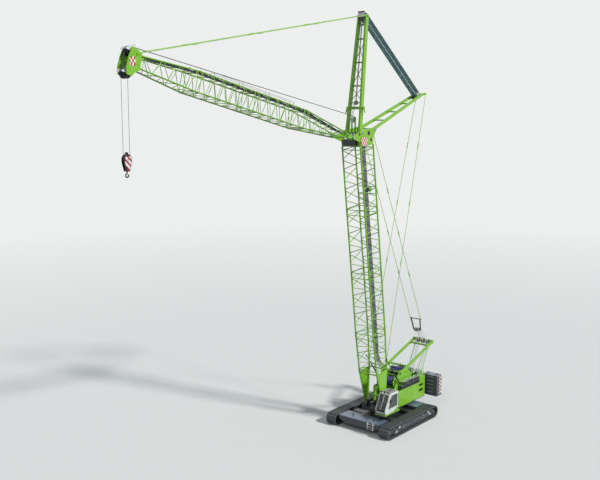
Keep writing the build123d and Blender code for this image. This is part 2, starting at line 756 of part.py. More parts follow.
# ---------------------------------------------------------------- boom head
head_start = base_length + section_count * section_length
head_inner = 940.0
head_plate = boom_half_width
strut_pin_radius = 60.0
lead_sheave = (5300.0, 29240.0)
guide_along = 20900.0
guide_front = -1330.0
guide_sheave = xz(boom_point(guide_along, guide_front, 0))
lead_shaft = 40.0
cradle_foot = 110.0
cradle_top = 90.0
cradle_outer = 195.0
cradle_thickness = 25.0


def boom_from(x, z):
    """Along and front of a place given by its x and z."""
    dx, dz = x - boom_foot_x, z - boom_foot_z
    return (dx * boom_cos + dz * boom_sin, dx * boom_sin - dz * boom_cos)


jib_pin_along, jib_pin_front = boom_from(jib_pin_x, jib_pin_z)
rear_along, rear_front = boom_from(rear_foot_x, rear_foot_z)
strut_along, strut_front = boom_from(strut_foot_x, strut_foot_z)
head_outline = [xz(boom_point(a, f, 0)) for a, f in (
    (head_start, -boom_half_depth - 60), (head_start, boom_half_depth + 60),
    (head_start + 500, boom_half_depth + 60), (jib_pin_along - 170, jib_pin_front),
    (jib_pin_along, jib_pin_front + 170), (jib_pin_along + 150, jib_pin_front),
    (strut_along + 200, strut_front), (rear_along + 180, rear_front),
    (rear_along, rear_front - 180), (rear_along - 200, rear_front),
    (head_start + 500, -boom_half_depth - 60))]
with BuildPart() as boom_head:
    for side in sides:
        plate(head_outline, mirrored(side, head_inner, head_plate))
        cross_bar(jib_pin_x, jib_pin_z, mirrored(side, head_inner - 130, head_plate + 40),
                  jib_pin_radius)
    for x, z in ((strut_foot_x, strut_foot_z), (rear_foot_x, rear_foot_z)):
        cross_bar(x, z, (-head_inner, head_inner), strut_pin_radius)
    for along, front, radius in ((head_start + 150, boom_half_depth, 80),
                                 (head_start + 150, -boom_half_depth, 80),
                                 (head_start + 900, 300, 120)):
        x, _, z = boom_point(along, front, 0)
        cross_bar(x, z, (-head_inner, head_inner), radius)
    plate([xz(boom_point(a, f, 0)) for a, f in (
        (head_start + 60, boom_half_depth - 30), (head_start + 60, boom_half_depth + 30),
        (head_start + 700, boom_half_depth + 30), (head_start + 700, boom_half_depth - 30))],
        (-head_inner, head_inner))
    for side in sides:
        plate([(strut_foot_x - cradle_foot, strut_foot_z), (strut_foot_x + cradle_foot, strut_foot_z),
               (lead_sheave[0] + cradle_top, lead_sheave[1] + cradle_top),
               (lead_sheave[0] - cradle_top, lead_sheave[1] + cradle_top)],
              mirrored(side, cradle_outer - cradle_thickness, cradle_outer))
    cross_bar(*lead_sheave, (-cradle_outer, cradle_outer), lead_shaft)
save(boom_head, "boom_head")

head_box_low = head_start + 230
head_box_high = head_start + 690
head_box_back = boom_half_depth + 30
head_box_depth = 300.0
head_box_half = 700.0
with BuildPart() as head_box:
    plate([xz(boom_point(a, f, 0)) for a, f in (
        (head_box_low, head_box_back), (head_box_high, head_box_back),
        (head_box_high, head_box_back + head_box_depth),
        (head_box_low, head_box_back + head_box_depth))],
        (-head_box_half, head_box_half))
save(head_box, "head_box")

# ---------------------------------------------------------------- rear strut and its stays
rear_foot_half = 800.0
rear_head_half = 420.0
rear_tip = (-5900.0, 31700.0)
with BuildPart() as rear_strut:
    for side in sides:
        beam((rear_foot_x, side * rear_foot_half, rear_foot_z),
             (rear_head_x, side * rear_head_half, rear_head_z), 160, 260)
        beam((rear_head_x, side * rear_head_half, rear_head_z),
             (rear_tip[0], side * rear_head_half, rear_tip[1]), 120, 200)
        cross_bar(rear_foot_x, rear_foot_z,
                  mirrored(side, rear_foot_half - 80, rear_foot_half + 80), 150)
        cross_bar(rear_foot_x, rear_foot_z, mirrored(side, rear_foot_half - 120, rear_foot_half + 120),
                  strut_pin_radius + seat_gap, Mode.SUBTRACT)
    for t in (0.25, 0.5, 0.75):
        x = rear_foot_x + (rear_head_x - rear_foot_x) * t
        z = rear_foot_z + (rear_head_z - rear_foot_z) * t
        half = rear_foot_half + (rear_head_half - rear_foot_half) * t
        cross_bar(x, z, (-half, half), 60)
    cross_bar(rear_head_x, rear_head_z, (-rear_head_half, rear_head_half), 70)
    cross_bar(*rear_tip, (-rear_head_half - 120, rear_head_half + 120), 50)
save(rear_strut, "rear_strut")


def stay(start, end, diameter, joints):
    """Bars of a stay from start to end, with thicker link plates at fractions of its length."""
    first, last = Vector(*start), Vector(*end)
    run = last - first
    link = run.normalized() * 260
    bars = [bar(start, end, diameter)]
    for t in joints:
        middle = first + run * t
        bars.append(bar(middle - link, middle + link, 2 * diameter))
    return bars


stay_diameter = 50.0
rear_stay_low = boom_point(stay_seat + 16, -stay_front, 0)
with BuildPart() as rear_stays:
    for side in sides:
        y = side * (rear_head_half + 90)
        add(stay((rear_tip[0], y, rear_tip[1]),
                 (rear_stay_low[0], side * boom_half_width, rear_stay_low[2]),
                 stay_diameter, (0.2, 0.42, 0.64)))
        cross_bar(*rear_tip, (y - 25, y + 25), 95)
        cross_bar(*rear_tip, (y - 60, y + 60), 50 + seat_gap, Mode.SUBTRACT)
save(rear_stays, "rear_stays")

pendant_y = 600.0
bridle_top = (-5700.0, 9150.0)
bridle_low = (-6050.0, 7950.0)
bridle_pin_radius = 45.0
bridle_y = pendant_y - 80
with BuildPart() as boom_pendants:
    for side in sides:
        y = side * pendant_y
        add(stay((rear_foot_x, y, rear_foot_z), (bridle_top[0], y, bridle_top[1]), stay_diameter,
                 (0.3, 0.52, 0.74)))
        cross_bar(*bridle_top, (y - 30, y + 30), 90)
        cross_bar(*bridle_top, (y - 60, y + 60), bridle_pin_radius + seat_gap, Mode.SUBTRACT)
        cross_bar(rear_foot_x, rear_foot_z, (y - 30, y + 30), 110)
        cross_bar(rear_foot_x, rear_foot_z, (y - 60, y + 60), strut_pin_radius + seat_gap,
                  Mode.SUBTRACT)
save(boom_pendants, "boom_pendants")

with BuildPart() as bridle_frame:
    for side in sides:
        beam((bridle_top[0], side * bridle_y, bridle_top[1]),
             (bridle_low[0], side * 400, bridle_low[1]), 60, 160)
    cross_bar(*bridle_top, (-pendant_y - 60, pendant_y + 60), bridle_pin_radius)
    cross_bar(*bridle_low, (-460, 460), 70)
save(bridle_frame, "bridle_frame")

head_shaft = boom_point(head_start + 900, 300, 0)
with BuildPart() as boom_sheaves:
    sheaves(head_shaft[0], head_shaft[2], (-450, -150, 150, 450), 80, 330, 120)
    sheaves(rear_head_x, rear_head_z, (-270, -90, 90, 270), 80, 300, 70)
    sheaves(*bridle_low, (-240, -80, 80, 240), 60, 230, 70)
    sheaves(*lead_sheave, (-60, 60), 80, 280, lead_shaft)
    sheaves(*guide_sheave, (-120, 120), 70, 240, lead_shaft)
save(boom_sheaves, "boom_sheaves")

bracket_bar = 40.0
bracket_front = -boom_half_depth - chord_diameter / 2 - bracket_bar - seat_gap
bracket_reach = 330.0
with BuildPart() as guide_bracket:
    for side in sides:
        plate([xz(boom_point(guide_along + a, f, 0)) for a, f in (
            (-bracket_reach, bracket_front), (-60, guide_front - 70), (60, guide_front - 70),
            (bracket_reach, bracket_front))], mirrored(side, 190, 210))
    for end in (-1, 1):
        x, _, z = boom_point(guide_along + end * bracket_reach, bracket_front, 0)
        cross_bar(x, z, (-boom_half_width, boom_half_width), bracket_bar)
    cross_bar(*guide_sheave, (-210, 210), lead_shaft)
save(guide_bracket, "guide_bracket")

# ---------------------------------------------------------------- jib
jib_ear = (head_inner - side_gap - 70, head_inner - side_gap)
jib_ear_y = (jib_ear[0] + jib_ear[1]) / 2
jib_foot_start = 500.0


def jib_frame(along):
    """Frame of the jib's full section, as lattice takes it."""
    return (along, jib_half_depth, jib_half_width, jib_rise)


with BuildPart() as jib_foot:
    for side in sides:
        limits = mirrored(side, *jib_ear)
        cross_bar(jib_pin_x, jib_pin_z, limits, 140)
        plate([xz(jib_point(a, b, 0)) for a, b in (
            (0, -130), (jib_foot_start + 200, -190), (jib_foot_start + 200, 190), (0, 130))], limits)
        cross_bar(jib_pin_x, jib_pin_z, mirrored(side, jib_ear[0] - 90, jib_ear[1] + 90),
                  jib_pin_radius + pin_clearance, Mode.SUBTRACT)
    add(lattice(jib_point, (jib_foot_start, 150, jib_ear_y, 0), jib_frame(jib_foot_length), 4,
                jib_chord, jib_lacing))
save(jib_foot, "jib_foot")

for k in range(jib_mid_count):
    low_end = jib_foot_length + k * jib_mid_length
    with BuildPart() as jib_section:
        add(lattice(jib_point, jib_frame(low_end), jib_frame(low_end + jib_mid_length), 5,
                    jib_chord, jib_lacing))
    save(jib_section, f"jib_section_{k + 1}")

mid_end = jib_foot_length + jib_mid_count * jib_mid_length
with BuildPart() as jib_tip:
    add(lattice(jib_point, jib_frame(mid_end),
                (jib_tip_start, jib_tip_half_depth, jib_tip_half_width, jib_tip_rise), 3,
                jib_chord, jib_lacing))
save(jib_tip, "jib_tip")

upper_sheave = (30080.0, 0, 33700.0)
lower_sheave = (30470.0, 0, 32250.0)
tip_sheave_radius = 330.0
tip_sheave_places = (-180.0, 0, 180.0)
tip_sheave_width = 90.0
tip_shaft = 50.0
tip_bar_radius = 70.0
tip_bars = [(jib_tip_start + 120, 560), (jib_tip_start + 120, -240), (24250, 80)]  # along, above
tip_plate = jib_tip_half_width + 30
walk_width = 460.0
walk_thickness = 24.0
walk_rise = jib_lacing / 2 + seat_gap
walk_start = (900.0, 203.5)
walk_line = [walk_start, (jib_foot_length, jib_half_depth + jib_rise),
             (mid_end, jib_half_depth + jib_rise),
             (jib_tip_start, jib_tip_half_depth + jib_tip_rise)]
walk_posts = (7600.0, 10600.0, 13600.0, 16600.0)
walk_rail_height = 420.0
walk_rail_y = 200.0
walk_rail_diameter = 24.0
walk_post_diameter = 32.0
walk_rail_overhang = 40.0
with BuildPart() as jib_walkway:
    under = [xz(jib_point(a, b + walk_rise, 0)) for a, b in walk_line]
    over = [xz(jib_point(a, b + walk_rise + walk_thickness, 0)) for a, b in walk_line]
    plate(under + over[::-1], (-walk_width / 2, walk_width / 2))
    foot = jib_half_depth + jib_rise + walk_rise + walk_thickness / 2
    for side in sides:
        y = side * walk_rail_y
        add([bar(jib_point(along, foot, y),
                 jib_point(along, foot + walk_rail_height + walk_rail_overhang, y),
                 walk_post_diameter)
             for along in walk_posts])
        add([bar(jib_point(walk_posts[0] - walk_rail_overhang, foot + walk_rail_height, y),
                 jib_point(walk_posts[-1] + walk_rail_overhang, foot + walk_rail_height, y),
                 walk_rail_diameter)])
save(jib_walkway, "jib_walkway")

guard_inner = 260.0
guard_thickness = 30.0
guard_bar_radius = 22.0
with BuildPart() as jib_head:
    for side in sides:
        plate([xz(jib_point(a, b, 0)) for a, b in (
            (jib_tip_start, -380), (jib_tip_start, 680), (23750, 840), (24020, 980),
            (24400, 980), (24560, 300), (24640, -400), (24500, -880), (24060, -880),
            (23850, -560))],
            mirrored(side, jib_tip_half_width - 30, tip_plate))
    for along, above in tip_bars:
        x, _, z = jib_point(along, above, 0)
        cross_bar(x, z, (-jib_tip_half_width, jib_tip_half_width), tip_bar_radius)
    for x, _, z in (upper_sheave, lower_sheave):
        cross_bar(x, z, (-jib_tip_half_width, jib_tip_half_width), tip_shaft)
save(jib_head, "jib_head")

with BuildPart() as rope_guards:
    for x, _, z in (upper_sheave, lower_sheave):
        for side in sides:
            plate([(x + 40, z - 20), (x + 480, z + 140), (x + 500, z + 200), (x - 180, z + 460),
                   (x - 380, z + 400), (x - 300, z - 20)],
                  mirrored(side, guard_inner, guard_inner + guard_thickness))
        for dx, dz in ((400, 180), (-260, 385)):
            cross_bar(x + dx, z + dz, (-guard_inner, guard_inner), guard_bar_radius)
        guard_outer = guard_inner + guard_thickness + 1
        cross_bar(x, z, (-guard_outer, guard_outer), tip_shaft + seat_gap, Mode.SUBTRACT)
save(rope_guards, "rope_guards")

with BuildPart() as jib_head_sheaves:
    for sheave in (upper_sheave, lower_sheave):
        sheaves(sheave[0], sheave[2], tip_sheave_places, tip_sheave_width, tip_sheave_radius,
                tip_shaft)
save(jib_head_sheaves, "jib_head_sheaves")

# ---------------------------------------------------------------- jib strut and pendants
strut_sheave_place = 0.255
strut_sheave_radius = 200.0
strut_shaft = 40.0
strut_beam_place = 0.21
strut_beam_reach = 200.0
strut_bars = [(strut_beam_place, strut_beam_reach), (0.4, 0), (0.6, 0), (0.8, 0), (0.92, 0)]
strut_bar_radius = 70.0
strut_leg_width = 180.0
strut_leg_depth = 400.0
strut_head_shaft = 60.0
strut_head_sheave_radius = 300.0
strut_sheave_width = 80.0


def strut_place(t):
    """x, half width and z at a fraction of the strut's length."""
    first = (strut_foot_x, strut_foot_half, strut_foot_z)
    last = (strut_head_x, strut_head_half, strut_head_z)
    return tuple(a + (b - a) * t for a, b in zip(first, last))


with BuildPart() as jib_strut:
    for side in sides:
        beam((strut_foot_x, side * strut_foot_half, strut_foot_z),
             (strut_head_x, side * strut_head_half, strut_head_z),
             strut_leg_width, strut_leg_depth)
        cross_bar(strut_foot_x, strut_foot_z,
                  mirrored(side, strut_foot_half - 90, strut_foot_half + 90), 160)
        cross_bar(strut_foot_x, strut_foot_z,
                  mirrored(side, strut_foot_half - 130, strut_foot_half + 130),
                  strut_pin_radius + pin_clearance, Mode.SUBTRACT)
    for t, reach in strut_bars:
        x, half, z = strut_place(t)
        cross_bar(x, z, (-half - reach, half + reach), strut_bar_radius)
    cross_bar(strut_head_x, strut_head_z, (-strut_head_half - 180, strut_head_half + 180),
              strut_head_shaft)
    x, half, z = strut_place(strut_sheave_place)
    cross_bar(x, z, (-half, half), strut_shaft)
save(jib_strut, "jib_strut")

with BuildPart() as jib_strut_sheaves:
    sheaves(strut_head_x, strut_head_z, (-180, 0, 180), strut_sheave_width,
            strut_head_sheave_radius, strut_head_shaft)
    x, _, z = strut_place(strut_sheave_place)
    sheaves(x, z, (-70, 70), strut_sheave_width, strut_sheave_radius, strut_shaft)
save(jib_strut_sheaves, "jib_strut_sheaves")

jib_pendant_y = tip_plate + side_gap + 30
pendant_end = jib_point(23900, 640, 0)
with BuildPart() as jib_pendants:
    for side in sides:
        y = side * jib_pendant_y
        add(stay((strut_head_x, y, strut_head_z), (pendant_end[0], y, pendant_end[2]),
                 stay_diameter, (0.28, 0.54, 0.8)))
        cross_bar(strut_head_x, strut_head_z, (y - 28, y + 28), 110)
        cross_bar(pendant_end[0], pendant_end[2], (y - 28, y + 28), 80)
        cross_bar(strut_head_x, strut_head_z, (y - 60, y + 60), 60 + pin_clearance,
                  Mode.SUBTRACT)
save(jib_pendants, "jib_pendants")

# ---------------------------------------------------------------- hoist falls, block and hook
rope_radius = 14.0
fall_front_x = lower_sheave[0] + tip_sheave_radius + seat_gap + rope_radius
fall_spacing = 540.0
fall_rear_x = fall_front_x - fall_spacing
dead_end_z = 31900.0
block_top = 27020.0
block_bottom = 25900.0
block_half_gap = 90.0
block_cheek = 60.0
block_half_width = 315.0
hook_x = (fall_front_x + fall_rear_x) / 2
hook_z = 25630.0
hook_shank = 34.0
nut_radius = 60.0


def upright(x, y, z, radius):
    """Upright round bar at x, y between two heights."""
    with BuildSketch(Plane.XY.offset(z[0])) as face:
        with Locations((x, y)):
            Circle(radius)
    extrude(face.sketch, amount=z[1] - z[0])


block_sheave_z = block_top - 340
block_pin_radius = 45.0
with BuildPart() as hoist_falls:
    upright(fall_front_x, 0, (block_sheave_z, lower_sheave[2]), rope_radius)
    upright(fall_rear_x, 0, (block_sheave_z, dead_end_z), rope_radius)
save(hoist_falls, "hoist_falls")

with BuildPart() as hook_block:
    half = block_half_width
    for side in sides:
        plate([(hook_x - 0.45 * half, block_bottom), (hook_x + 0.45 * half, block_bottom),
               (hook_x + half, block_top - 520), (hook_x + half, block_top - 250),
               (hook_x + 0.72 * half, block_top - 70), (hook_x + 0.3 * half, block_top),
               (hook_x - 0.3 * half, block_top), (hook_x - 0.72 * half, block_top - 70),
               (hook_x - half, block_top - 250), (hook_x - half, block_top - 520)],
              mirrored(side, block_half_gap, block_half_gap + block_cheek))
    cross_bar(hook_x, block_sheave_z, (-block_half_gap - 1, block_half_gap + 1), block_pin_radius)
    block((hook_x - 130, hook_x + 130), (-block_half_gap - 1, block_half_gap + 1),
          (block_bottom, block_bottom + 150))
    plate([(hook_x - 110, block_top - 60), (hook_x + 110, block_top - 60),
           (hook_x + 40, block_top + 150), (hook_x - 40, block_top + 150)],
          (-block_half_gap - 1, block_half_gap + 1))
    with BuildSketch(Plane.XY.offset(block_bottom - 1)) as bore:
        with Locations((hook_x, 0)):
            Circle(hook_shank + pin_clearance)
    extrude(bore.sketch, amount=152, mode=Mode.SUBTRACT)
save(hook_block, "hook_block")

with BuildPart() as hook_block_sheave:
    cross_bar(hook_x, block_sheave_z, (-60, 60), fall_spacing / 2 - rope_radius - seat_gap)
    cross_bar(hook_x, block_sheave_z, (-61, 61), block_pin_radius + seat_gap, Mode.SUBTRACT)
save(hook_block_sheave, "hook_block_sheave")

hook_radius = 120.0
hook_bar = 46.0
with BuildPart() as hook:
    upright(hook_x, 0, (hook_z + hook_radius - 15, block_bottom + 151), hook_shank)
    upright(hook_x, 0, (block_bottom + 150.3, block_bottom + 200), nut_radius)
    upright(hook_x, 0, (block_bottom - 60, block_bottom - seat_gap), nut_radius)
    with BuildLine(Plane.XZ) as bend:
        CenterArc((hook_x, hook_z), hook_radius, 90, -290)
    with BuildSketch(Plane(origin=(hook_x, 0, hook_z + hook_radius), z_dir=(1, 0, 0))) as round_bar:
        Circle(hook_bar)
    sweep(round_bar.sketch, path=bend.line)
save(hook, "hook")

# ---------------------------------------------------------------- backstops
backstop_y = tower_outer + 170
backstop_run = Vector(backstop_eye[0] - backstop_foot[0], 0, backstop_eye[2] - backstop_foot[1])
backstop_way = backstop_run.normalized()
backstop_length = backstop_run.length


def backstop_point(along, y):
    """Point on a backstop, measured from its foot pin."""
    return (backstop_foot[0] + backstop_way.X * along, y, backstop_foot[1] + backstop_way.Z * along)


barrel_end = 2350.0
rod_diameter = 70.0
with BuildPart() as backstop_barrels:
    for side in sides:
        y = side * backstop_y
        add([bar(backstop_point(70, y), backstop_point(barrel_end, y), 130)])
        cross_bar(*backstop_foot, (y - 40, y + 40), 90)
        cross_bar(*backstop_foot, (y - 60, y + 60), 50 + pin_clearance, Mode.SUBTRACT)
        add([bar(backstop_point(300, y), backstop_point(barrel_end + 1, y),
                 rod_diameter + 2 * seat_gap)], mode=Mode.SUBTRACT)
save(backstop_barrels, "backstop_barrels")

with BuildPart() as backstop_rods:
    for side in sides:
        y = side * backstop_y
        add([bar(backstop_point(1000, y), backstop_point(backstop_length - 60, y), rod_diameter)])
        cross_bar(backstop_eye[0], backstop_eye[2], (y - 35, y + 35), 80)
save(backstop_rods, "backstop_rods")
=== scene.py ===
"""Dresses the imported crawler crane: paints, wire ropes, windows, walkways, lamps and markings.

Everything is in metres in the frame's own axes: +X the way the jib reaches, +Y the cab's side,
+Z up, with the origin on the ground under the slewing axis.
"""
import json
import math

import bmesh
import bpy
import numpy as np
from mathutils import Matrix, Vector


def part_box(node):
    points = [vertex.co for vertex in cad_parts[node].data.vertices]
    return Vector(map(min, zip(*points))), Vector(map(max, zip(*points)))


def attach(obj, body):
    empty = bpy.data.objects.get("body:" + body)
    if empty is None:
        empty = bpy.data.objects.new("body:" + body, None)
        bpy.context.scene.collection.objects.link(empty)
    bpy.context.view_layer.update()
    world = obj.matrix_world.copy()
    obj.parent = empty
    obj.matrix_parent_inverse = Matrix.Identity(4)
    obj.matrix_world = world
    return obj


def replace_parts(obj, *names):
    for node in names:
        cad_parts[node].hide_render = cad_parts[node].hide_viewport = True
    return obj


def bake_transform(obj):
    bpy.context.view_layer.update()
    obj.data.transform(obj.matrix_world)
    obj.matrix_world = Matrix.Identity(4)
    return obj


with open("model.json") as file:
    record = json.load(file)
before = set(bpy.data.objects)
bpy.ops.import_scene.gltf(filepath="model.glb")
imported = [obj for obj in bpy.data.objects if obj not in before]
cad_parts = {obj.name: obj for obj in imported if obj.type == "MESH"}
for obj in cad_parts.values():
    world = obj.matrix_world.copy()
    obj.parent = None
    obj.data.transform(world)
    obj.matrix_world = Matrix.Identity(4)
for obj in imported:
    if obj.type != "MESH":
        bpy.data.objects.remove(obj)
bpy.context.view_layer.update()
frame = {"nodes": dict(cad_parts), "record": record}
NODES = frame["nodes"]

# ---------------------------------------------------------------- places read from the frame
PIVOT = {j["name"]: np.array(j["pos_m"]) for j in frame["record"]["behaviour"]["joints"]
         if "pos_m" in j}
BOOM_FOOT = PIVOT["boom_luff"]
JIB_PIN = PIVOT["jib_luff"]
STRUT_FOOT = PIVOT["jib_strut_pivot"]
STRUT_HEAD = PIVOT["jib_pendant_pivot"]
BOOM_ANGLE = math.radians(82.4)
JIB_ANGLE = math.radians(12.6)
SIDES = (1, -1)
UNDER, UPPER = "undercarriage", "superstructure"


def box_of(node):
    """Lowest and highest corner of a CAD node as arrays."""
    return tuple(np.array(c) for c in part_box(node))


def boom_at(along, front, side):
    """Point along the boom from its foot, in front of its axis, to the left."""
    c, s = math.cos(BOOM_ANGLE), math.sin(BOOM_ANGLE)
    return BOOM_FOOT + np.array([along * c + front * s, side, along * s - front * c])


def jib_at(along, above, side):
    """Point along the jib from its foot pin, above its axis, to the left."""
    c, s = math.cos(JIB_ANGLE), math.sin(JIB_ANGLE)
    return JIB_PIN + np.array([along * c - above * s, side, along * s + above * c])


# ---------------------------------------------------------------- materials
def srgb(code):
    """Linear colour of an sRGB hex value."""
    parts = [int(code[i:i + 2], 16) / 255 for i in (1, 3, 5)]
    return tuple(p / 12.92 if p <= 0.04045 else ((p + 0.055) / 1.055) ** 2.4 for p in parts) + (1,)


def add(tree, kind, inputs=None, **settings):
    """Adds one node with its settings; inputs hold either a value or the socket to link from."""
    made = tree.nodes.new(kind)
    for key, value in settings.items():
        setattr(made, key, value)
    for key, value in (inputs or {}).items():
        if isinstance(value, bpy.types.NodeSocket):
            tree.links.new(value, made.inputs[key])
        else:
            made.inputs[key].default_value = value
    return made


def start_material(name, **shader):
    """A material with its shader's plain values: returns it, its tree, shader and coordinates."""
    material = bpy.data.materials.new(name)
    material.use_nodes = True
    tree = material.node_tree
    tree.nodes.clear()
    surface = add(tree, "ShaderNodeBsdfPrincipled", shader)
    add(tree, "ShaderNodeOutputMaterial", {"Surface": surface.outputs["BSDF"]})
    place = add(tree, "ShaderNodeTexCoord").outputs["Object"]
    return material, tree, surface, place


def coated_material(name, coat, coat_roughness):
    """A material for paint or foil under a clear coat."""
    return start_material(name, **{"Metallic": 0.0, "IOR": 1.5, "Coat Weight": coat,
                                   "Coat Roughness": coat_roughness})


def mottle(tree, place, size, detail=4.0, rough=0.55):
    """Cloudy pattern with patches of a real size in metres, 0 to 1."""
    return add(tree, "ShaderNodeTexNoise", {"Vector": place, "Scale": 1 / size, "Detail": detail,
                                            "Roughness": rough}).outputs["Fac"]


def ramp(tree, factor, low, high, first=0.0, last=1.0):
    """Number that runs from first to last while factor runs from low to high."""
    return add(tree, "ShaderNodeMapRange", {"Value": factor, "From Min": low, "From Max": high,
                                            "To Min": first, "To Max": last}).outputs["Result"]


def blend_colour(tree, factor, low, high):
    """Colour between low and high; each is a hex code or a socket."""
    pick = [srgb(c) if isinstance(c, str) else c for c in (low, high)]
    made = add(tree, "ShaderNodeMix", {"Factor": factor}, data_type="RGBA")
    for key, value in zip(("A", "B"), pick):
        socket = [s for s in made.inputs if s.name == key and s.type == "RGBA"][0]
        if isinstance(value, tuple):
            socket.default_value = value
        else:
            tree.links.new(value, socket)
    return [s for s in made.outputs if s.type == "RGBA"][0]


def facing(tree):
    """Upright part of a face's normal, -1 underneath to 1 on top."""
    normal = add(tree, "ShaderNodeNewGeometry").outputs["Normal"]
    return add(tree, "ShaderNodeSeparateXYZ", {"Vector": normal}).outputs["Z"]


def upward(tree):
    """How far a face looks up, 0 on walls to 1 on level tops."""
    return ramp(tree, facing(tree), 0.35, 0.95)


def product(tree, first, second):
    """Two factors multiplied."""
    return add(tree, "ShaderNodeMath", {0: first, 1: second}, operation="MULTIPLY").outputs[0]


def paint(tree, surface, colour, roughness=None):
    """Links a colour, and a roughness where one is given, to the shader."""
    tree.links.new(colour, surface.inputs["Base Color"])
    if roughness is not None:
        tree.links.new(roughness, surface.inputs["Roughness"])


def bump(tree, surface, height, distance, strength=0.4):
    """Relief of a real depth in metres on the shader's normal."""
    made = add(tree, "ShaderNodeBump", {"Height": height, "Distance": distance,
                                        "Strength": strength})
    tree.links.new(made.outputs["Normal"], surface.inputs["Normal"])


def machine_enamel(name, code, shade, pale, dust="#8A8674", top_dust_and_light_share=0.22, roughness=0.32,
                   film=0.0, underside_shade=None):
    """Two-pack machine enamel sprayed on steel: even gloss, faded in broad patches, dusty on top,
    and on some paints lightened evenly on every top as painted sky light.

    Patches of fading are about 1.5 m across, fine spray texture 8 mm, drawn at 30 mm to show.
    Faces that look down are darkened towards the underside colour where one is given, as painted
    shade under beams and chords.
    """
    material, tree, surface, place = coated_material(name, 0.25, 0.12)
    patches = mottle(tree, place, 1.5)
    grain = mottle(tree, place, 0.03, 2.0)
    faded = blend_colour(tree, ramp(tree, patches, 0.35, 0.7), shade, code)
    bright = blend_colour(tree, ramp(tree, grain, 0.45, 0.8, 0.0, 0.35), faded, pale)
    if underside_shade:
        # Painted shade: faces that look down turn towards the underside colour.
        low = ramp(tree, facing(tree), -0.05, -0.55, 0.0, 0.8)
        bright = blend_colour(tree, low, bright, underside_shade)
    # Tops take the dust colour in patches up to its share; film sets the least share on every top,
    # an even painted light on level faces.
    top_dust_and_light = ramp(tree, mottle(tree, place, 0.35, 6.0), 0.45, 0.75, film, top_dust_and_light_share)
    paint(tree, surface, blend_colour(tree, product(tree, top_dust_and_light, upward(tree)), bright, dust),
          ramp(tree, patches, 0.3, 0.7, roughness + 0.14, roughness))
    bump(tree, surface, grain, 0.0006, 0.25)
    return material


def cast_steel(name, dark, light, dirt, metallic=0.65, roughness=0.5):
    """Cast and forged steel, mottled from dark to light, with dry soil in patches.

    Casting skin grain is about 4 mm, drawn at 25 mm to show; soil patches are 0.25 m.
    """
    material, tree, surface, place = start_material(name, Metallic=metallic)
    skin = mottle(tree, place, 0.025, 5.0, 0.65)
    soil = ramp(tree, mottle(tree, place, 0.25, 5.0), 0.5, 0.72, 0.0, 0.6)
    metal = blend_colour(tree, ramp(tree, skin, 0.35, 0.7), dark, light)
    paint(tree, surface, blend_colour(tree, soil, metal, dirt),
          ramp(tree, soil, 0.0, 0.6, roughness, 0.85))
    bump(tree, surface, skin, 0.002, 0.5)
    return material


def wire_rope(name, dark, light, metallic=0.7, roughness=0.38):
    """Drawn steel wire rope in grease: spiral strands about 12 mm wide, drawn at 40 mm to show."""
    material, tree, surface, place = start_material(name, Metallic=metallic, Roughness=roughness)
    strand = add(tree, "ShaderNodeTexWave", {"Vector": place, "Scale": 1 / 0.04 / 6.28,
                                             "Distortion": 1.5}, wave_type="BANDS",
                 bands_direction="DIAGONAL").outputs["Fac"]
    grease = mottle(tree, place, 0.3)
    base = blend_colour(tree, strand, dark, light)
    paint(tree, surface, blend_colour(tree, ramp(tree, grease, 0.5, 0.8, 0.0, 0.5), base, dark))
    bump(tree, surface, strand, 0.003, 0.6)
    return material


def safety_glass(name):
    """Laminated cab glass, tinted smoke green, with a dust film in 0.4 m patches."""
    material, tree, surface, place = start_material(
        name, **{"Roughness": 0.04, "IOR": 1.5, "Transmission Weight": 0.0, "Metallic": 0.0,
                 "Coat Weight": 1.0, "Coat Roughness": 0.03})
    film = ramp(tree, mottle(tree, place, 0.4, 3.0), 0.4, 0.8)
    paint(tree, surface, blend_colour(tree, film, "#3C4A42", "#7D8B80"))
    tree.links.new(ramp(tree, film, 0.0, 1.0, 0.38, 0.5), surface.inputs["Alpha"])
    return material


def warning_stripes(name, first, second, pitch, across, along, rule="ADD", share=0.5):
    """Reflective foil with slanting bands: two coordinates joined, cut at a share of each pitch."""
    material, tree, surface, place = coated_material(name, 0.4, 0.1)
    part = add(tree, "ShaderNodeSeparateXYZ", {"Vector": place})
    value = part.outputs[across]
    for other, step in ((part.outputs[along], rule), (pitch, "FLOORED_MODULO"),
                        (pitch * share, "GREATER_THAN")):
        value = add(tree, "ShaderNodeMath", {0: value, 1: other}, operation=step).outputs[0]
    worn_foil(tree, surface, place, blend_colour(tree, value, first, second))
    return material


def worn_foil(tree, surface, place, colour):
    """Grey scuffs about 80 mm across on a foil's print, rougher where it is scuffed."""
    wear = mottle(tree, place, 0.08, 5.0)
    paint(tree, surface,
          blend_colour(tree, ramp(tree, wear, 0.55, 0.85, 0.0, 0.3), colour, "#77736A"),
          ramp(tree, wear, 0.3, 0.7, 0.35, 0.55))


def checked_foil(name, first, second, width, height):
    """Reflective foil with upright cells in staggered rows: x and z in cells, then checked."""
    material, tree, surface, place = coated_material(name, 0.4, 0.1)
    cells = add(tree, "ShaderNodeMapping", {"Vector": place, "Scale": (1 / width, 0, 1 / height)})
    check = add(tree, "ShaderNodeTexChecker", {"Vector": cells.outputs["Vector"],
                                               "Scale": 1.0}).outputs["Fac"]
    worn_foil(tree, surface, place, blend_colour(tree, check, first, second))
    return material


def soft_plastic(name, dark, light, roughness=0.55):
    """Moulded rubber and plastic with a leather-like grain of about 3 mm, drawn at 12 mm."""
    material, tree, surface, place = start_material(name, Metallic=0.0, IOR=1.5)
    grain = mottle(tree, place, 0.012, 4.0)
    paint(tree, surface, blend_colour(tree, grain, dark, light),
          ramp(tree, grain, 0.3, 0.7, roughness, roughness + 0.15))
    bump(tree, surface, grain, 0.0008, 0.4)
    return material


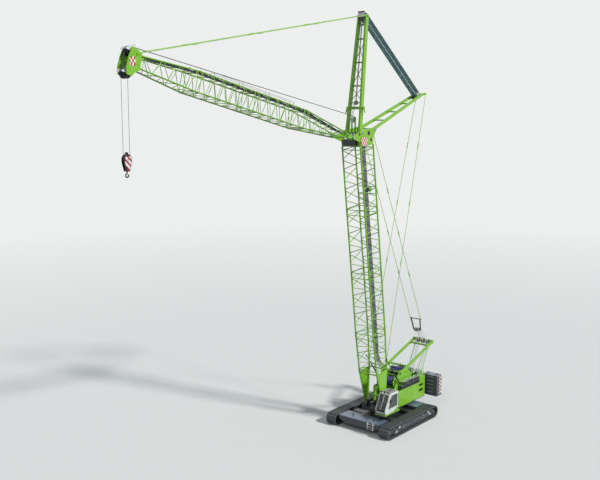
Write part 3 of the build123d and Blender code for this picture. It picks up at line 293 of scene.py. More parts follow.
def polished_rod(name):
    """Hard-chromed cylinder rod: mirror bright with a thin film of oil in 60 mm streaks."""
    material, tree, surface, place = start_material(name, Metallic=1.0)
    film = mottle(tree, place, 0.06, 3.0)
    paint(tree, surface, blend_colour(tree, film, "#B9BCC0", "#E2E4E6"),
          ramp(tree, film, 0.3, 0.7, 0.08, 0.2))
    return material


def galvanised(name, dark, light):
    """Hot-dip galvanised grating and rails: zinc flakes about 15 mm, drawn at 50 mm to show."""
    material, tree, surface, place = start_material(name, Metallic=0.85)
    flake = add(tree, "ShaderNodeTexVoronoi", {"Vector": place, "Scale": 1 / 0.05}).outputs["Color"]
    level = add(tree, "ShaderNodeSeparateXYZ", {"Vector": flake}).outputs["X"]
    paint(tree, surface, blend_colour(tree, level, dark, light),
          ramp(tree, level, 0.0, 1.0, 0.35, 0.55))
    return material


# Lime turns dark green on faces that look down, as painted shade.
LIME = machine_enamel("lime_machine_enamel", "#84C02A", "#75B224", "#97D23A", underside_shade="#24400F")
LIME_STAY = machine_enamel("lime_stay_enamel", "#8CCB34", "#7DBA2B", "#A6DC52", top_dust_and_light_share=0.1)
# Anthracite turns blue-grey on every top, partly dust and partly painted sky light.
ANTHRACITE = machine_enamel("anthracite_enamel", "#434A52", "#383E46", "#525B64", "#8090A4", 0.75,
                            film=0.5)
# Frame paint is the frames' dark anthracite, made darker still as painted shade.
FRAME_SHADED_PAINT = machine_enamel("track_frame_enamel", "#2C3136", "#24282C", "#3B4147", "#6A6A60", 0.3)
# Ballast grey turns blue-grey on every top, partly dust and partly painted sky light.
BALLAST_GREY = machine_enamel("ballast_enamel", "#565A68", "#4A4E5B", "#666A78", "#8C91A4", 0.6,
                              film=0.5)
POCKET_BROWN = machine_enamel("pocket_primer", "#3E302C", "#33272A", "#4F403A", "#6A6055", 0.4)
# Pocket backs are painted far paler than the slabs, as painted light against the shade on the
# counterweight's front.
POCKET_PAINTED_LIGHT = machine_enamel("pocket_enamel", "#A39BB0", "#958DA3", "#B2ABBE", "#8C91A4", 0.4)
# Hood grey turns blue-grey on every top, partly dust and partly painted sky light.
HOOD_GREY = machine_enamel("hood_enamel", "#3A4149", "#30363D", "#4A525B", "#7E8EA4", 0.8, film=0.6)
WHITE = machine_enamel("white_cab_enamel", "#E6E9E6", "#D5D9D6", "#F1F3F1", "#A9A594", 0.15)
SILVER = machine_enamel("silver_sheave_enamel", "#B7BDC2", "#989FA6", "#D3D8DB", "#8D8A80", 0.2)
BLACK = machine_enamel("black_block_enamel", "#0F1011", "#0B0C0D", "#1B1D1F", "#4C4A44", 0.15)
TRACK = cast_steel("forged_track_steel", "#3A4042", "#60686B", "#6F6B5C", 0.45)
RUNNING_GEAR = cast_steel("cast_roller_steel", "#3B4043", "#70777B", "#5D5849", 0.75, 0.42)
ROPE = wire_rope("greased_wire_rope", "#10202C", "#2C4557", 0.2, 0.6)
LUFFING_ROPE = wire_rope("oiled_luffing_rope", "#2E5C60", "#4F8486", 0.2, 0.6)
DRUM_ROPE = wire_rope("wound_drum_rope", "#252C52", "#56619A", 0.3, 0.5)
FALL_ROPE = wire_rope("bright_wire_rope", "#2A3038", "#6A737D")
GLASS = safety_glass("laminated_cab_glass")
ROD = polished_rod("chromed_rod")
GRATING = galvanised("galvanised_grating", "#8E969B", "#B9C0C4")
WALKWAY = galvanised("weathered_walkway_grating", "#4A5254", "#7B8486")
SEAT = soft_plastic("seat_moulding", "#141516", "#232527")
RUBBER = soft_plastic("hose_rubber", "#121314", "#1E2021", 0.45)
RED_WHITE_SIDE = warning_stripes("red_white_foil", "#A81016", "#E9E7E2", 0.36, "X", "Z", "SUBTRACT")
RED_WHITE_REAR = warning_stripes("red_white_foil_rear", "#A81016", "#E9E7E2", 0.36, "Y", "Z")
BLOCK_FOIL = warning_stripes("block_foil", "#9A0D1C", "#E9E7E2", 0.40, "X", "Z", "SUBTRACT", 0.45)
CHECKED = checked_foil("checked_foil", "#AE1418", "#F1E9E2", 0.14, 0.21)

FINISHES = (
    (LIME, ("house_walls", "rear_cover", "winch_tower", "gantry", "rear_frame",
            "boom_base", "boom_section_1", "boom_section_2", "boom_section_3", "boom_head",
            "rear_strut", "jib_foot", "jib_section_1", "jib_section_2", "jib_tip", "jib_head",
            "jib_strut", "guide_bracket", "house_rails")),
    (LIME_STAY, ("rear_stays", "boom_pendants", "jib_pendants")),
    (ANTHRACITE, ("ballast_slabs",)),
    (BALLAST_GREY, ("counterweight",)),
    # The turning frame takes the dark frame paint as painted shade under the boom and cab.
    (FRAME_SHADED_PAINT, ("car_body", "track_frame_left", "track_frame_right", "final_drives",
                   "turning_frame")),
    (HOOD_GREY, ("engine_hoods",)),
    (WHITE, ("cab_shell", "cab_door", "rope_guards", "access_ladder", "gantry_sheaves",
             "boom_sheaves", "jib_strut_sheaves", "air_cleaner")),
    (WALKWAY, ("jib_walkway",)),
    (TRACK, ("track_left", "track_right")),
    (RUNNING_GEAR, ("track_rollers", "drive_sprockets", "front_idlers")),
    (BLACK, ("hook", "hook_block", "hook_block_sheave", "engine", "bridle_frame", "head_box",
             "exhaust_stacks", "jib_head_sheaves", "backstop_barrels", "backstop_rods")),
    (ROPE, ("winches",)),
    (FALL_ROPE, ("hoist_falls",)),
    (SEAT, ("operator_seat",)),
)
for finish, names in FINISHES:
    for name in names:
        NODES[name].data.materials.clear()
        NODES[name].data.materials.append(finish)


# ---------------------------------------------------------------- surfaces as arrays
def grid_faces(rows, columns, wrap_rows):
    """Quads between neighbours of a rows by columns grid, closed round its columns."""
    r, c = (a.ravel() for a in np.meshgrid(np.arange(rows if wrap_rows else rows - 1),
                                           np.arange(columns), indexing="ij"))
    r2, c2 = (r + 1) % rows, (c + 1) % columns
    return np.stack([r * columns + c, r * columns + c2, r2 * columns + c2, r2 * columns + c], 1)


def turns(count):
    """Angles evenly spaced round a circle."""
    return np.linspace(0, 2 * math.pi, count, endpoint=False)


def shell(points, wrap_rows=False):
    """Grid of points, closed round its columns, with flat ends where it has any."""
    rows, columns, _ = points.shape
    faces = grid_faces(rows, columns, wrap_rows).tolist()
    if not wrap_rows:
        faces.append(list(range(columns))[::-1])
        faces.append(list(range((rows - 1) * columns, rows * columns)))
    return points.reshape(-1, 3), faces


def tube(points, radius, sides=8, closed=False):
    """Round tube: a circle carried along a path, each ring square to the path at its point."""
    path = np.array(points, float)
    before = np.roll(path, 1, 0)
    after = np.roll(path, -1, 0)
    if not closed:
        before[0], after[-1] = path[0], path[-1]
    way = after - before
    way /= np.linalg.norm(way, axis=1)[:, None]
    lead = (0.0, 1.0, 0.0) if np.abs(way[:, 1]).max() < 0.9 else (0.31, 0.2, 0.93)
    first = np.cross(way, lead)
    first /= np.linalg.norm(first, axis=1)[:, None]
    second = np.cross(way, first)
    turn = turns(sides)
    ring = (np.cos(turn)[None, :, None] * first[:, None, :]
            + np.sin(turn)[None, :, None] * second[:, None, :])
    return shell(path[:, None, :] + radius * ring, wrap_rows=closed)


def prism(outline, low, high, axis=1):
    """Flat outline carried straight along one axis; its two numbers fill the other two axes."""
    flat = np.array(outline, float)
    ends = np.zeros((2, len(flat), 3))
    ends[:, :, [a for a in range(3) if a != axis]] = flat
    ends[:, :, axis] = [[low], [high]]
    return shell(ends)


def about(middle, half):
    """Two limits, half a width either side of a middle."""
    return middle - half, middle + half


def outward(side, near, far):
    """Two limits on Y between two distances out from the middle plane, on one side."""
    return sorted((side * near, side * far))


def mirrored(profile, middle=()):
    """A profile that starts at its low end, its middle, and its mirror image."""
    return profile + list(middle) + [(-along, radius) for along, radius in profile[::-1]]


def cuboid(x, y, z):
    """Box between two limits on each axis."""
    return prism([(x[0], z[0]), (x[1], z[0]), (x[1], z[1]), (x[0], z[1])], *y)


def strap(start, end, width, depth, across=(0, 1, 0)):
    """Flat bar: a rectangle carried straight, its width along across, its depth square to it."""
    start, end, across = (np.array(v, float) for v in (start, end, across))
    way = (end - start) / np.linalg.norm(end - start)
    up = np.cross(way, across)
    up /= np.linalg.norm(up)
    side = np.cross(up, way)
    corners = np.array([(-1, -1), (1, -1), (1, 1), (-1, 1)]) / 2
    ring = corners[:, :1] * width * side + corners[:, 1:] * depth * up
    return shell(np.stack([start + ring, end + ring]))


def lathe(centre, profile, sides=40, axis=1, wrap=False):
    """Turned surface: a profile of (distance along the axis, radius) spun about the axis."""
    turn = turns(sides)
    across, up = (a for a in range(3) if a != axis)
    rows = np.zeros((len(profile), sides, 3))
    shape = np.array(profile, float)
    rows[:, :, axis] = shape[:, :1]
    rows[:, :, across] = shape[:, 1:] * np.cos(turn)
    rows[:, :, up] = shape[:, 1:] * np.sin(turn)
    return shell(rows + np.array(centre), wrap)


def merge(parts):
    """Several (points, faces) pairs as one pair."""
    points, faces, count = [], [], 0
    for verts, quads in parts:
        points.append(np.asarray(verts))
        faces += [[i + count for i in face] for face in quads]
        count += len(verts)
    return np.concatenate(points), faces


def put(name, data):
    """A new object with its data, linked to the scene."""
    made = bpy.data.objects.new(name, data)
    bpy.context.scene.collection.objects.link(made)
    return made


def piece(name, parts, material, body, bevel=0.0, smooth=38.0):
    """One finished object from a list of surfaces, riding a body, with its edges broken by bevel.
    """
    points, faces = merge(parts)
    mesh = bpy.data.meshes.new(name)
    mesh.from_pydata(points.tolist(), [], faces)
    work = bmesh.new()
    work.from_mesh(mesh)
    bmesh.ops.recalc_face_normals(work, faces=work.faces[:])
    work.to_mesh(mesh)
    work.free()
    mesh.materials.append(material)
    mesh.polygons.foreach_set("use_smooth", [True] * len(mesh.polygons))
    mesh.set_sharp_from_angle(angle=math.radians(smooth))
    made = put(name, mesh)
    if bevel:
        broken = made.modifiers.new("broken_edges", "BEVEL")
        broken.width = bevel
        broken.segments = 2
        broken.limit_method = "ANGLE"
    if body:
        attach(made, body)
    return made


def bolt_heads(places, radius, height, axis=1):
    """Hexagon heads: six-sided prisms that stand out from faces at (x, y, z) places."""
    return [lathe(spot, [(0, radius), (math.copysign(height, spot[axis]), radius)], 6, axis)
            for spot in places]


# ---------------------------------------------------------------- crawler tracks
TRACK_BOX = box_of("track_left")
TRACK_MIDDLE = (TRACK_BOX[0][1] + TRACK_BOX[1][1]) / 2
SHOE_WIDTH = TRACK_BOX[1][1] - TRACK_BOX[0][1]
AXLE_HEIGHT = (TRACK_BOX[1][2] - TRACK_BOX[0][2]) / 2
AXLE_SPACING = 7.72
PITCH_RADIUS = AXLE_HEIGHT - 0.11
LOOP_LENGTH = 2 * AXLE_SPACING + 2 * math.pi * PITCH_RADIUS
SHOE_COUNT = 58


def loop_frame(run):
    """Point on the pitch line and the way out of the loop: two straights joined by half circles."""
    run = np.mod(run, LOOP_LENGTH)
    bend = math.pi * PITCH_RADIUS
    half = AXLE_SPACING / 2
    front = np.clip((run - AXLE_SPACING) / PITCH_RADIUS, 0, math.pi)
    rear = np.clip((run - 2 * AXLE_SPACING - bend) / PITCH_RADIUS, 0, math.pi)
    angle = math.pi / 2 - front - rear
    out = np.stack([np.cos(angle), np.sin(angle)], -1)
    top = np.clip(run, 0, AXLE_SPACING)
    low = np.clip(run - AXLE_SPACING - bend, 0, AXLE_SPACING)
    centre = np.stack([-half + top - low, np.full_like(run, AXLE_HEIGHT)], -1)
    return centre + PITCH_RADIUS * out, out


def along_loop(run, out, y):
    """Points at run round the loop, out from its pitch line, at y; all three of one shape."""
    spot, way = loop_frame(run)
    spot = spot + out[..., None] * way
    return np.stack([spot[..., 0], y, spot[..., 1]], -1)


def track_band(middle):
    """The chain's links: a flat rectangle carried once round the loop."""
    run = np.linspace(0, LOOP_LENGTH, 2 * SHOE_COUNT, endpoint=False)
    section = np.array([(-0.038, -0.5), (-0.038, 0.5), (0.036, 0.5), (0.036, -0.5)])
    r, o = np.meshgrid(run, section[:, 0], indexing="ij")
    y = np.broadcast_to(middle + section[:, 1] * (SHOE_WIDTH - 0.06), r.shape)
    return shell(along_loop(r, o, y), wrap_rows=True)


def track_shoe(index, middle):
    """One pad: a profile with two raised ribs carried across the track, its ends chamfered."""
    pitch = LOOP_LENGTH / SHOE_COUNT
    profile = np.array([(-0.42, 0.037), (-0.42, 0.082), (-0.34, 0.108), (-0.30, 0.108),
                        (-0.26, 0.092), (0.26, 0.092), (0.30, 0.108), (0.34, 0.108),
                        (0.42, 0.082), (0.42, 0.037)])
    across = np.array([(-0.5, 0.62), (-0.485, 1.0), (0.485, 1.0), (0.5, 0.62)])
    r = np.broadcast_to((index + 0.5 + profile[:, 0]) * pitch, (len(across), len(profile)))
    base = profile[:, 1].min()
    o = base + (profile[:, 1] - base)[None, :] * across[:, 1:]
    y = np.broadcast_to(middle + across[:, :1] * SHOE_WIDTH, r.shape)
    return shell(along_loop(r, o, y))


for side, word in zip(SIDES, ("left", "right")):
    parts = [track_band(side * TRACK_MIDDLE)]
    parts += [track_shoe(i, side * TRACK_MIDDLE) for i in range(SHOE_COUNT)]
    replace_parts(piece(f"track_chain_{word}", parts, TRACK, UNDER), f"track_{word}")

# ---------------------------------------------------------------- undercarriage fittings
FRAME_FACE = TRACK_MIDDLE + 0.358
COVER_FACE = TRACK_MIDDLE + 0.34
LUG_FACE = TRACK_MIDDLE + 0.36
ROLLER_PITCH = 0.56
ROLLER_HEIGHT = 0.27
BOLT_CIRCLE = 0.042
AXLE_CAP = ((0, 0.20), (0.02, 0.20), (0.03, 0.17), (0.03, 0.09), (0.06, 0.08), (0.06, 0.02))
roller_bolts, covers, steps, clamps, shade_decks = [], [], [], [], []
for side in SIDES:
    for i in range(11):
        for angle in 0.5 + turns(3):
            roller_bolts.append(((i - 5) * ROLLER_PITCH + BOLT_CIRCLE * math.cos(angle),
                                 side * FRAME_FACE,
                                 ROLLER_HEIGHT + BOLT_CIRCLE * math.sin(angle)))
    for x, width in ((-2.5, 0.9), (-0.9, 1.5), (0.9, 1.5), (2.5, 0.9)):
        covers.append(cuboid(about(x, width / 2), outward(side, COVER_FACE, COVER_FACE + 0.012),
                             (0.50, 0.74)))
    for x in (-AXLE_SPACING / 2, AXLE_SPACING / 2):
        covers.append(lathe((x, side * COVER_FACE, AXLE_HEIGHT),
                            [(side * out, radius) for out, radius in AXLE_CAP], 28))
    near, far = side * LUG_FACE, side * (LUG_FACE + 0.14)
    for x in (-1.72, 1.72):
        for z in (0.60, 0.80):
            steps.append(tube([(x - 0.2, near, z), (x - 0.2, far, z), (x + 0.2, far, z),
                               (x + 0.2, near, z)], 0.016))
    for x, z in ((2.85, 0.46), (2.35, 0.78), (-2.75, 0.80), (-3.05, 0.55)):
        y = outward(side, LUG_FACE, LUG_FACE + 0.10)
        clamps.append(cuboid(about(x, 0.20), y, (z - 0.07, z + 0.05)))
        clamps.append(cuboid(about(x, 0.12), y, (z + 0.05, z + 0.10)))
    # Dark deck plates between car body and tracks, which also stand for the shade seen in that gap.
    shade_decks.append(cuboid((-2.75, 2.75), outward(side, 1.0, TRACK_MIDDLE - 0.37), (0.66, 0.68)))
piece("roller_bolts", bolt_heads(roller_bolts, 0.012, 0.012), RUNNING_GEAR, UNDER)
piece("track_frame_covers", covers, ANTHRACITE, UNDER, 0.006)
piece("undercarriage_decks", shade_decks, FRAME_SHADED_PAINT, UNDER)
piece("track_frame_steps", steps, GRATING, UNDER)
piece("track_tension_clamps", clamps, SILVER, UNDER, 0.01)

RING_RADIUS, RING_TOP = 1.38, 1.08
ring_bolts = [(RING_RADIUS * math.cos(a), RING_RADIUS * math.sin(a), RING_TOP) for a in turns(72)]
piece("ring_bolts", bolt_heads(ring_bolts, 0.024, 0.03, 2), RUNNING_GEAR, UNDER)

# ---------------------------------------------------------------- upper works
_, WALL_Y, HOUSE_TOP = box_of("house_walls")[1]
HOOD_TOP = box_of("engine_hoods")[1][2]


def louvre(x, y, z, side, count):
    """Row of sloping blades on a wall: each a thin prism leaning out of the wall's face."""
    step = (z[1] - z[0]) / count
    out = y + side * 0.028
    return [prism([(y, low), (out, low + 0.2 * step), (out, low + 0.35 * step),
                   (y, low + 0.75 * step)], *x, axis=0)
            for low in z[0] + step * np.arange(count)]


SLAT_BACK = WALL_Y - 0.036
# The dark sheets behind the blades and the dark strips round each louvre are painted shade of the
# openings.
slats, louvre_shade_sheets = [], []
for side in SIDES:
    for x, z in (((-4.95, -4.19), (2.70, 2.83)), ((-4.95, -4.19), (2.15, 2.32))):
        slats += louvre(x, side * (WALL_Y - 0.035), z, side, 4)
        louvre_shade_sheets.append(cuboid(x, outward(side, SLAT_BACK - 0.003, SLAT_BACK), z))
        for level in ((z[0] - 0.035, z[0]), (z[1], z[1] + 0.035)):
            louvre_shade_sheets.append(cuboid(x, outward(side, WALL_Y, WALL_Y + 0.005), level))
    for x0, x1 in ((-4.15, -3.0), (-2.85, -1.7), (-1.55, -1.2)):
        slats += louvre((x0, x1), side * WALL_Y, (HOUSE_TOP + 0.05, HOOD_TOP - 0.06), side, 5)
        louvre_shade_sheets.append(cuboid((x0 - 0.03, x1 + 0.03), outward(side, WALL_Y, WALL_Y + 0.006),
                            (HOUSE_TOP + 0.03, HOOD_TOP - 0.04)))
piece("louvre_blades", slats, BLACK, UPPER)
piece("louvre_backs", louvre_shade_sheets, SEAT, UPPER)

SEAM_TOP = HOUSE_TOP - 0.1
seams, hinges, sill_bolts = [], [], []
for side in SIDES:
    edge = outward(side, WALL_Y, WALL_Y + 0.004)
    seams += [cuboid(about(x, 0.012), edge, (1.62, SEAM_TOP)) for x in (-3.95, -2.85, -1.75)]
    seams += [cuboid((-5.1, -0.7), edge, (z, z + 0.02)) for z in (1.60, SEAM_TOP)]
    pin = side * (WALL_Y + 0.018)
    hinges += [tube([(x, pin, z), (x, pin, z + 0.14)], 0.014)
               for x in (-3.9, -2.8, -1.7) for z in (1.8, 2.8)]
    hinges += [cuboid(about(x, 0.05), outward(side, WALL_Y, WALL_Y + 0.03), (2.2, 2.3))
               for x in (-3.05, -1.95, -0.95)]
    cap = [(0, 0.03), (side * 0.02, 0.03), (side * 0.022, 0.01)]
    sill_bolts += [lathe((x, side * WALL_Y, 1.5), cap, 12) for x in np.linspace(-4.9, -0.8, 10)]
piece("door_seams", seams, LIME, UPPER)
piece("door_hinges", hinges, LIME, UPPER)
piece("sill_bolts", sill_bolts, BLACK, UPPER)

RAIL_HEIGHT = 0.75
rails = []
for side in SIDES:
    feet = np.array([(x, side * 1.40, HOOD_TOP + 0.15) for x in (-5.2, -4.4)])
    rails += [tube(feet + [0, 0, RAIL_HEIGHT * share], radius)
              for share, radius in ((1.0, 0.019), (0.5, 0.014))]
    rails += [tube([foot, foot + [0, 0, RAIL_HEIGHT]], 0.019) for foot in feet]
piece("cover_rails", rails, LIME, UPPER)

DECK, STACK_X = 3.6, -4.8
stacks = [lathe((STACK_X, y, DECK), [(0, 0.13), (0.1, 0.13), (0.1, 0.085), (tall, 0.085),
                                     (tall, 0.075), (tall - 0.2, 0.07)], 24, 2)
          for y, tall in ((-1.15, 0.75), (-0.85, 0.62))]
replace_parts(piece("stack_pipes", stacks, BLACK, UPPER), "exhaust_stacks")
cleaner = [lathe((STACK_X, 0.95, DECK), [(0, 0.24), (0.33, 0.24), (0.34, 0.22), (0.36, 0.265),
                                         (0.45, 0.265), (0.49, 0.2), (0.498, 0.02)], 32, 2)]
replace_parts(piece("air_filter_drum", cleaner, SILVER, UPPER), "air_cleaner")
hoses = [tube([(x, 0.45, DECK), (x, 0.45, DECK + 0.15), (x + 0.1, 0.6, DECK + 0.17),
               (STACK_X, 0.75, DECK + 0.19)], 0.06, 12) for x in (-5.0, -4.55)]
piece("air_filter_hoses", hoses, RUBBER, UPPER)

END_BAR, BAR_Z = 0.02, HOOD_TOP + 0.008
COVER_Y, COVER_TOP = (1.03, 1.40), HOOD_TOP + 0.28
grilles, covers, cover_edge_highlights, cover_doors = [], [], [], []
for side in SIDES:
    for x0, x1 in ((-4.1, -3.25), (-3.1, -2.25), (-2.1, -1.3)):
        for y in side * np.linspace(1.16, 1.44, 8):
            grilles.append(strap((x0, y, BAR_Z), (x1, y, BAR_Z), 0.012, 0.016))
        for x in (x0, x1 - END_BAR):
            grilles.append(strap((x, side * 1.3, BAR_Z - 0.004),
                                 (x + END_BAR, side * 1.3, BAR_Z - 0.004), 0.32, 0.012))
    for x0, x1 in ((-4.25, -2.93), (-2.87, -1.55)):
        y = outward(side, *COVER_Y)
        covers.append(cuboid((x0, x1), y, (HOOD_TOP + 0.03, COVER_TOP)))
        # White strips on the covers' top edges are painted highlights along those edges.
        for x in ((x0, x0 + 0.05), (x1 - 0.05, x1)):
            cover_edge_highlights.append(cuboid(x, y, (COVER_TOP, COVER_TOP + 0.012)))
        for edge, width in zip(COVER_Y, (0.045, -0.045)):
            cover_edge_highlights.append(cuboid((x0, x1), outward(side, edge, edge + width),
                                      (COVER_TOP, COVER_TOP + 0.014)))
        for low in x0 + 0.12 + 0.45 * np.arange(3):
            cover_doors.append(cuboid((low, low + 0.30),
                                      outward(side, COVER_Y[1], COVER_Y[1] + 0.01),
                                      (HOOD_TOP + 0.07, COVER_TOP - 0.05)))
piece("hood_grilles", grilles, SEAT, UPPER)
piece("hood_covers", covers, HOOD_GREY, UPPER, 0.01)
piece("hood_cover_edges", cover_edge_highlights, WHITE, UPPER)
piece("hood_cover_grilles", cover_doors, SEAT, UPPER)


# ---------------------------------------------------------------- winches and sheaves
def drum_winding(centre, radius, half, rope, slope):
    """Rope lying on a drum: a turned surface whose radius rises and falls once per turn of rope."""
    y = np.linspace(-half, half, int(2 * half / rope) * 6)
    return lathe(centre, np.stack([y, radius + slope * np.abs(np.sin(math.pi * y / rope))], 1), 48)


FRONT_DRUM = np.array([-1.0, 0, 3.78])
REAR_DRUM = np.array([-2.8, 0, 4.25])
drums, drum_cheeks = [], []
for centre, radius in ((FRONT_DRUM, 0.42), (REAR_DRUM, 0.43)):
    drums.append(drum_winding(centre, radius, 0.80, 0.05, 0.022))
    cheek = mirrored([(-0.02, 0.10), (-0.02, radius + 0.10), (-0.012, radius + 0.115)])
    for end in SIDES[::-1]:
        drum_cheeks.append(lathe(centre + [0, end * 0.82, 0], cheek, 48))
        drum_cheeks.append(lathe(centre + [0, end * 0.88, 0],
                                 [(-0.055, 0.16), (0.05, 0.16), (0.055, 0.12)], 32))
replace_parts(piece("drum_ropes", drums, DRUM_ROPE, UPPER, smooth=80), "winches")
piece("drum_flanges", drum_cheeks, LIME, UPPER, 0.004)


def grooved_sheave(centre, radius, width, hub):
    """Rope sheave: a turned profile with a round groove in its rim and a dished web."""
    w = width / 2
    groove = [(-0.55 * w * math.cos(t), radius - 0.10 * radius * math.sin(t))
              for t in np.linspace(0, math.pi, 7)]
    edge = [(-w, hub), (-w, hub * 1.5), (-0.45 * w, hub * 1.7), (-0.45 * w, radius * 0.76),
            (-w, radius * 0.84), (-w, radius - 0.006), (-0.8 * w, radius)]
    return lathe(centre, mirrored(edge, groove), wrap=True)


BOOM_HEAD_SHAFT = boom_at(26.04, 0.3, 0)
REAR_HEAD = np.array([-5.06, 0, 31.5])
BRIDLE_LOW = np.array([-6.05, 0, 7.95])
GANTRY_HEAD = np.array([-7.25, 0, 6.55])
REAR_SHEAVES = np.array([-5.7, 0, 3.7])
UPPER_SHEAVE = np.array([30.08, 0, 33.7])
LOWER_SHEAVE = PIVOT["hook_swing"]
LEAD_SHEAVE = np.array([5.3, 0, 29.24])
GUIDE_SHEAVE = boom_at(20.9, -1.33, 0)
STRUT_SHEAVE = STRUT_FOOT + 0.255 * (STRUT_HEAD - STRUT_FOOT)
SHEAVE_SETS = (
    ("gantry_sheaves", UPPER,
     ((GANTRY_HEAD, (-0.62, -0.46, -0.08, 0.08, 0.46, 0.62), 0.30, 0.07, 0.081),
      (REAR_SHEAVES, (-0.42, -0.26, 0.26, 0.42), 0.25, 0.07, 0.061))),
    ("boom_sheaves", "boom",
     ((BOOM_HEAD_SHAFT, (-0.45, -0.15, 0.15, 0.45), 0.33, 0.08, 0.121),
      (REAR_HEAD, (-0.27, -0.09, 0.09, 0.27), 0.30, 0.08, 0.071),
      (BRIDLE_LOW, (-0.24, -0.08, 0.08, 0.24), 0.23, 0.06, 0.071),
      (LEAD_SHEAVE, (-0.06, 0.06), 0.28, 0.08, 0.041),
      (GUIDE_SHEAVE, (-0.12, 0.12), 0.24, 0.07, 0.041))),
    ("jib_head_sheaves", "jib",
     ((UPPER_SHEAVE, (-0.18, 0, 0.18), 0.33, 0.09, 0.051),
      (LOWER_SHEAVE, (-0.18, 0, 0.18), 0.33, 0.09, 0.051))),
    ("jib_strut_sheaves", "jib_strut",
     ((STRUT_HEAD, (-0.18, 0, 0.18), 0.30, 0.08, 0.061),
      (STRUT_SHEAVE, (-0.07, 0.07), 0.20, 0.08, 0.041))),
)
for node, body, groups in SHEAVE_SETS:
    wheels, webs = [], []
    for shaft, places, radius, width, hub in groups:
        web = mirrored([(-0.24 * width, 1.5 * hub), (-0.24 * width, 0.75 * radius)])
        wheels += [grooved_sheave(shaft + [0, y, 0], radius, width, hub) for y in places]
        webs += [lathe(shaft + [0, y, 0], web) for y in places]
    dark = node == "jib_head_sheaves"
    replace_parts(piece(f"{node}_turned", wheels, BLACK if dark else WHITE, body), node)
    if not dark:
        piece(f"{node}_webs", webs, BLACK, body)

# ---------------------------------------------------------------- counterweight
BALLAST_REAR = box_of("counterweight")[0][0]
BALLAST_SIDE = box_of("counterweight")[1][1]
BALLAST_FRONT = -5.9
SLAB_PITCH = 0.388
SLAB_LOWS = 1.56 + SLAB_PITCH * np.arange(5)
POCKET_Y, POCKET_Z = (1.35, 2.15), (0.11, 0.27)
RIM = 0.03
side_foil, rear_foil, pocket_rims, pocket_backs = [], [], [], []
for side in SIDES:
    y0, y1 = outward(side, *POCKET_Y)
    for slab in SLAB_LOWS:
        low, high = (slab + z for z in POCKET_Z)
        pocket_backs.append(cuboid((BALLAST_FRONT - 0.059, BALLAST_FRONT - 0.055), (y0, y1),
                                   (low, high)))
        for y, z in (((y0 - RIM, y1 + RIM), (high, high + RIM)),
                     ((y0 - RIM, y1 + RIM), (low - RIM, low)),
                     ((y0 - RIM, y0), (low, high)), ((y1, y1 + RIM), (low, high))):
            pocket_rims.append(cuboid((BALLAST_FRONT, BALLAST_FRONT + 0.012), y, z))
        level = (slab + 0.03, slab + SLAB_PITCH - 0.03)
        side_foil.append(cuboid((BALLAST_REAR + 0.02, BALLAST_REAR + 0.47),
                                outward(side, BALLAST_SIDE, BALLAST_SIDE + 0.005), level))
        rear_foil.append(cuboid((BALLAST_REAR - 0.005, BALLAST_REAR),
                                outward(side, 2.05, 2.55), level))
piece("ballast_stripes_side", side_foil, RED_WHITE_SIDE, UPPER)
piece("ballast_stripes_rear", rear_foil, RED_WHITE_REAR, UPPER)
piece("ballast_pocket_rims", pocket_rims, POCKET_BROWN, UPPER)
# The pocket backs carry the pale pocket colour as painted light.
piece("ballast_pocket_backs", pocket_backs, POCKET_PAINTED_LIGHT, UPPER)

# ---------------------------------------------------------------- cab
CAB_IN, CAB_OUT = 1.18, 2.30
PANE = 0.006
PANEL_Y = (CAB_OUT + 0.0005, CAB_OUT + 0.004)
LINING_Y = (1.236, 2.244)
WALL_LINING = (1.233, 1.239)
FRAME_ENDS = (CAB_IN + 0.075, CAB_OUT - 0.075)
GUARD_ENDS = (CAB_IN + 0.12, CAB_OUT - 0.12)
FRONT_PANE = [(2.935, 2.05), (2.985, 2.25), (2.965, 2.29), (2.33, 3.50), (2.29, 3.56)]
FRONT_RIM = [(2.952, 2.03), (3.012, 2.255), (2.29, 3.60)]
SIDE_WINDOW = [(1.0, 2.35), (1.95, 2.35), (1.95, 3.55), (1.0, 3.55)]
DOOR_WINDOW = [(0.985, 2.295), (2.355, 2.295), (2.355, 2.485), (1.955, 3.475), (0.985, 3.475)]


def band(path, thickness):
    """Thin strip seen from the side: a path of (x, z) and the same path moved off by thickness."""
    line = np.array(path, float)
    way = np.gradient(line, axis=0)
    way /= np.linalg.norm(way, axis=1)[:, None]
    off = np.stack([-way[:, 1], way[:, 0]], 1) * thickness
    return np.concatenate([line, (line + off)[::-1]])


def ring_of(outline, y, radius=0.012):
    """Round section carried once round a window's outline of (x, z), at y."""
    return tube([(x, y, z) for x, z in outline], radius, 8, True)


skirt = [cuboid((0.60, 3.08), (2.331, 2.339), (1.72, 1.848)),
         cuboid((3.081, 3.089), (1.20, 2.339), (1.76, 1.848)),
         cuboid((0.822, 0.892), PANEL_Y, (1.852, 2.27)),
         cuboid((0.892, 1.55), PANEL_Y, (1.852, 1.95))]
piece("cab_skirt", skirt, LIME, UPPER)
piece("door_corner_panel", [prism([(0.903, 1.963), (1.47, 1.963), (0.903, 2.23)], *PANEL_Y)],
      LIME, "cab_door")
piece("cab_roof_hatch", [cuboid((0.98, 2.12), (CAB_IN + 0.10, CAB_OUT - 0.10), (3.681, 3.70))],
      SEAT, UPPER, 0.006)
lining = [cuboid((0.876, 2.88), LINING_Y, (1.902, 1.908)),
          cuboid((0.874, 0.880), LINING_Y, (1.91, 2.49)),
          cuboid((0.90, 2.88), WALL_LINING, (1.91, 2.34)),
          cuboid((1.96, 2.26), WALL_LINING, (2.35, 3.54)),
          cuboid((0.88, 1.19), LINING_Y, (3.618, 3.624)),
          cuboid((1.91, 2.20), LINING_Y, (3.618, 3.624))]
piece("cab_lining", lining, SEAT, UPPER)

